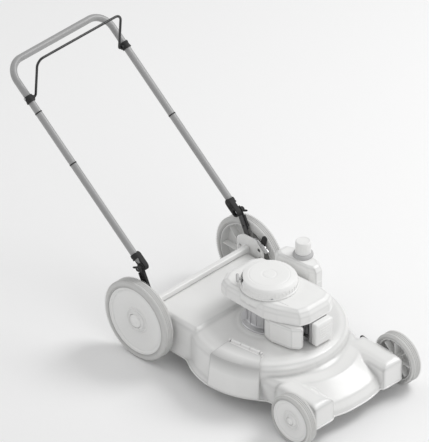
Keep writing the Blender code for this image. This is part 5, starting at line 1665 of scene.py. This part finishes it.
    def build_front(self) -> None:
        """The exhaust under its shield on the right and the air cleaner in front."""
        low = ((0.425, -0.090), (0.455, -0.096), (0.545, -0.078), (0.572, -0.052), (0.560, -0.036),
               (0.440, -0.046))
        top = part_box("muffler")[1].z
        bm = bmesh.new()
        hull_into(bm, self.level(low, 0.1965, 0.012) + self.level(low, 0.208) + self.level(low, top - 0.008)
                  + self.level(low, top - 0.0005, 0.008))
        shell = melted("shell", bm, 0.0022, 3)
        mark_edges(shell, 0.7)
        self.add(shell, "muffler_shield", Look.SHROUD, "root", "bare_steel", ("muffler",))
        at = spot(0.5800, 0.034, 0.2425)
        cover = box_piece("cover", (0.028, 0.082, 0.088), at, 0.0075, 5)
        panel = box_piece("panel", (0.0030, 0.062, 0.066), at + Vector((0.0134, 0.001, 0.002)), 0.0012, 3)
        ridges = in_a_row("ridges", seed_block((0.0016, 0.052, 0.0016), 0.0005), 5, (0, 0, 0.010),
                          Look.SHROUD,
                          at + Vector((0.0151, 0.001, -0.019)))
        self.add(joined([cover, panel, ridges], "cover"), "air_filter_cover", Look.SHROUD, "root",
                 "white_plastic",
                 ("air_cleaner_cover",))
        base_low, base_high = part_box("air_cleaner_base")
        base = box_piece("base", base_high - base_low, (base_low + base_high) / 2, 0.003, 3)
        self.add(base, "air_filter_base", Look.GREY_PLASTIC, "root", "grey_plastic", ("air_cleaner_base",))

    def dress_rotor(self) -> None:
        """Gives the turning parts under the covers their metals."""
        looks = {"crankshaft": Look.STEEL, "flywheel": Look.ALLOY, "blade_adapter": Look.ALLOY,
                 "blade": Look.BLADE,
                 "blade_bolt": Look.STEEL, "recoil_pulley": Look.BLACK_PLASTIC,
                 "rear_index_plate": Look.STEEL}
        for node, look in looks.items():
            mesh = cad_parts[node].data
            mesh.materials.clear()
            mesh.materials.append(look.material())

    def build(self) -> None:
        """Builds the whole engine."""
        self.build_shroud()
        self.build_recoil()
        self.build_grip()
        self.build_tank()
        self.build_block()
        self.build_front()
        self.dress_rotor()


@dataclass
class Studio:
    """Floor, soft lights and the camera, which looks down along the diagonal of a cube."""

    distance: float = 48.0
    seen: float = 1.524
    aim: Vector = field(default_factory=lambda: Vector((-0.1454, 0.1751, 0.300)))
    back: Vector = field(default_factory=lambda: Vector((1, -1, 1)).normalized())

    def light(self, name: str, place: Sequence[float], size: float, power: float) -> None:
        """A square soft light that looks at the mower's middle."""
        data = bpy.data.lights.new(name, "AREA")
        data.shape = "SQUARE"
        data.size = size
        data.energy = power
        lamp = bpy.data.objects.new(name, data)
        lamp.location = place
        lamp.rotation_euler = (Vector((0, 0, 0.3)) - Vector(place)).to_track_quat("-Z", "Y").to_euler()
        bpy.context.scene.collection.objects.link(lamp)

    def build(self) -> None:
        """Sets it all up."""
        floor = box_piece("floor", (120, 120, 0.02), Vector((0, 0, -0.0105)), 0.001, 1)
        floor.data.materials.append(Look.FLOOR.material())
        world = bpy.data.worlds.new("studio")
        world.use_nodes = True
        surroundings = world.node_tree.nodes["Background"]
        surroundings.inputs["Color"].default_value = (1.0, 1.0, 1.0, 1)
        surroundings.inputs["Strength"].default_value = 0.53
        bpy.context.scene.world = world
        self.light("key", (1.2, 3.4, 4.4), 2.6, 140)
        self.light("front", (4.6, -1.2, 2.6), 2.4, 34)
        self.light("rim", (-3.6, -2.0, 3.0), 2.4, 26)
        data = bpy.data.cameras.new("camera")
        data.sensor_width = 36
        data.lens = self.distance * data.sensor_width / self.seen
        data.clip_start, data.clip_end = 1.0, 200.0
        camera = bpy.data.objects.new("camera", data)
        camera.location = self.aim + self.back * self.distance
        camera.rotation_euler = (-self.back).to_track_quat("-Z", "Y").to_euler()
        bpy.context.scene.collection.objects.link(camera)
        bpy.context.scene.camera = camera
        bpy.context.scene.view_settings.view_transform = "Standard"


def main() -> None:
    """Builds the mower piece by piece, then the studio."""
    logging.basicConfig(level=logging.INFO, format="%(message)s")
    Deck().build()
    Door().build()
    for name, side in SIDES:
        Wheel("rear", name, side, 0.152, 132).build()
        Wheel("front", name, side, 0.095, 84).build()
    Axle("rear", (0.055, 0.165), (0.0, 0.152), 0.2386, 0.2825, math.radians(20), 0.120).build()
    Axle("front", (0.680, 0.107), (0.731, 0.095), 0.2173, 0.2655, math.radians(-82), 0.090).build()
    Handle().build()
    Engine().build()
    Studio().build()


if __name__ == "__main__":
    main()
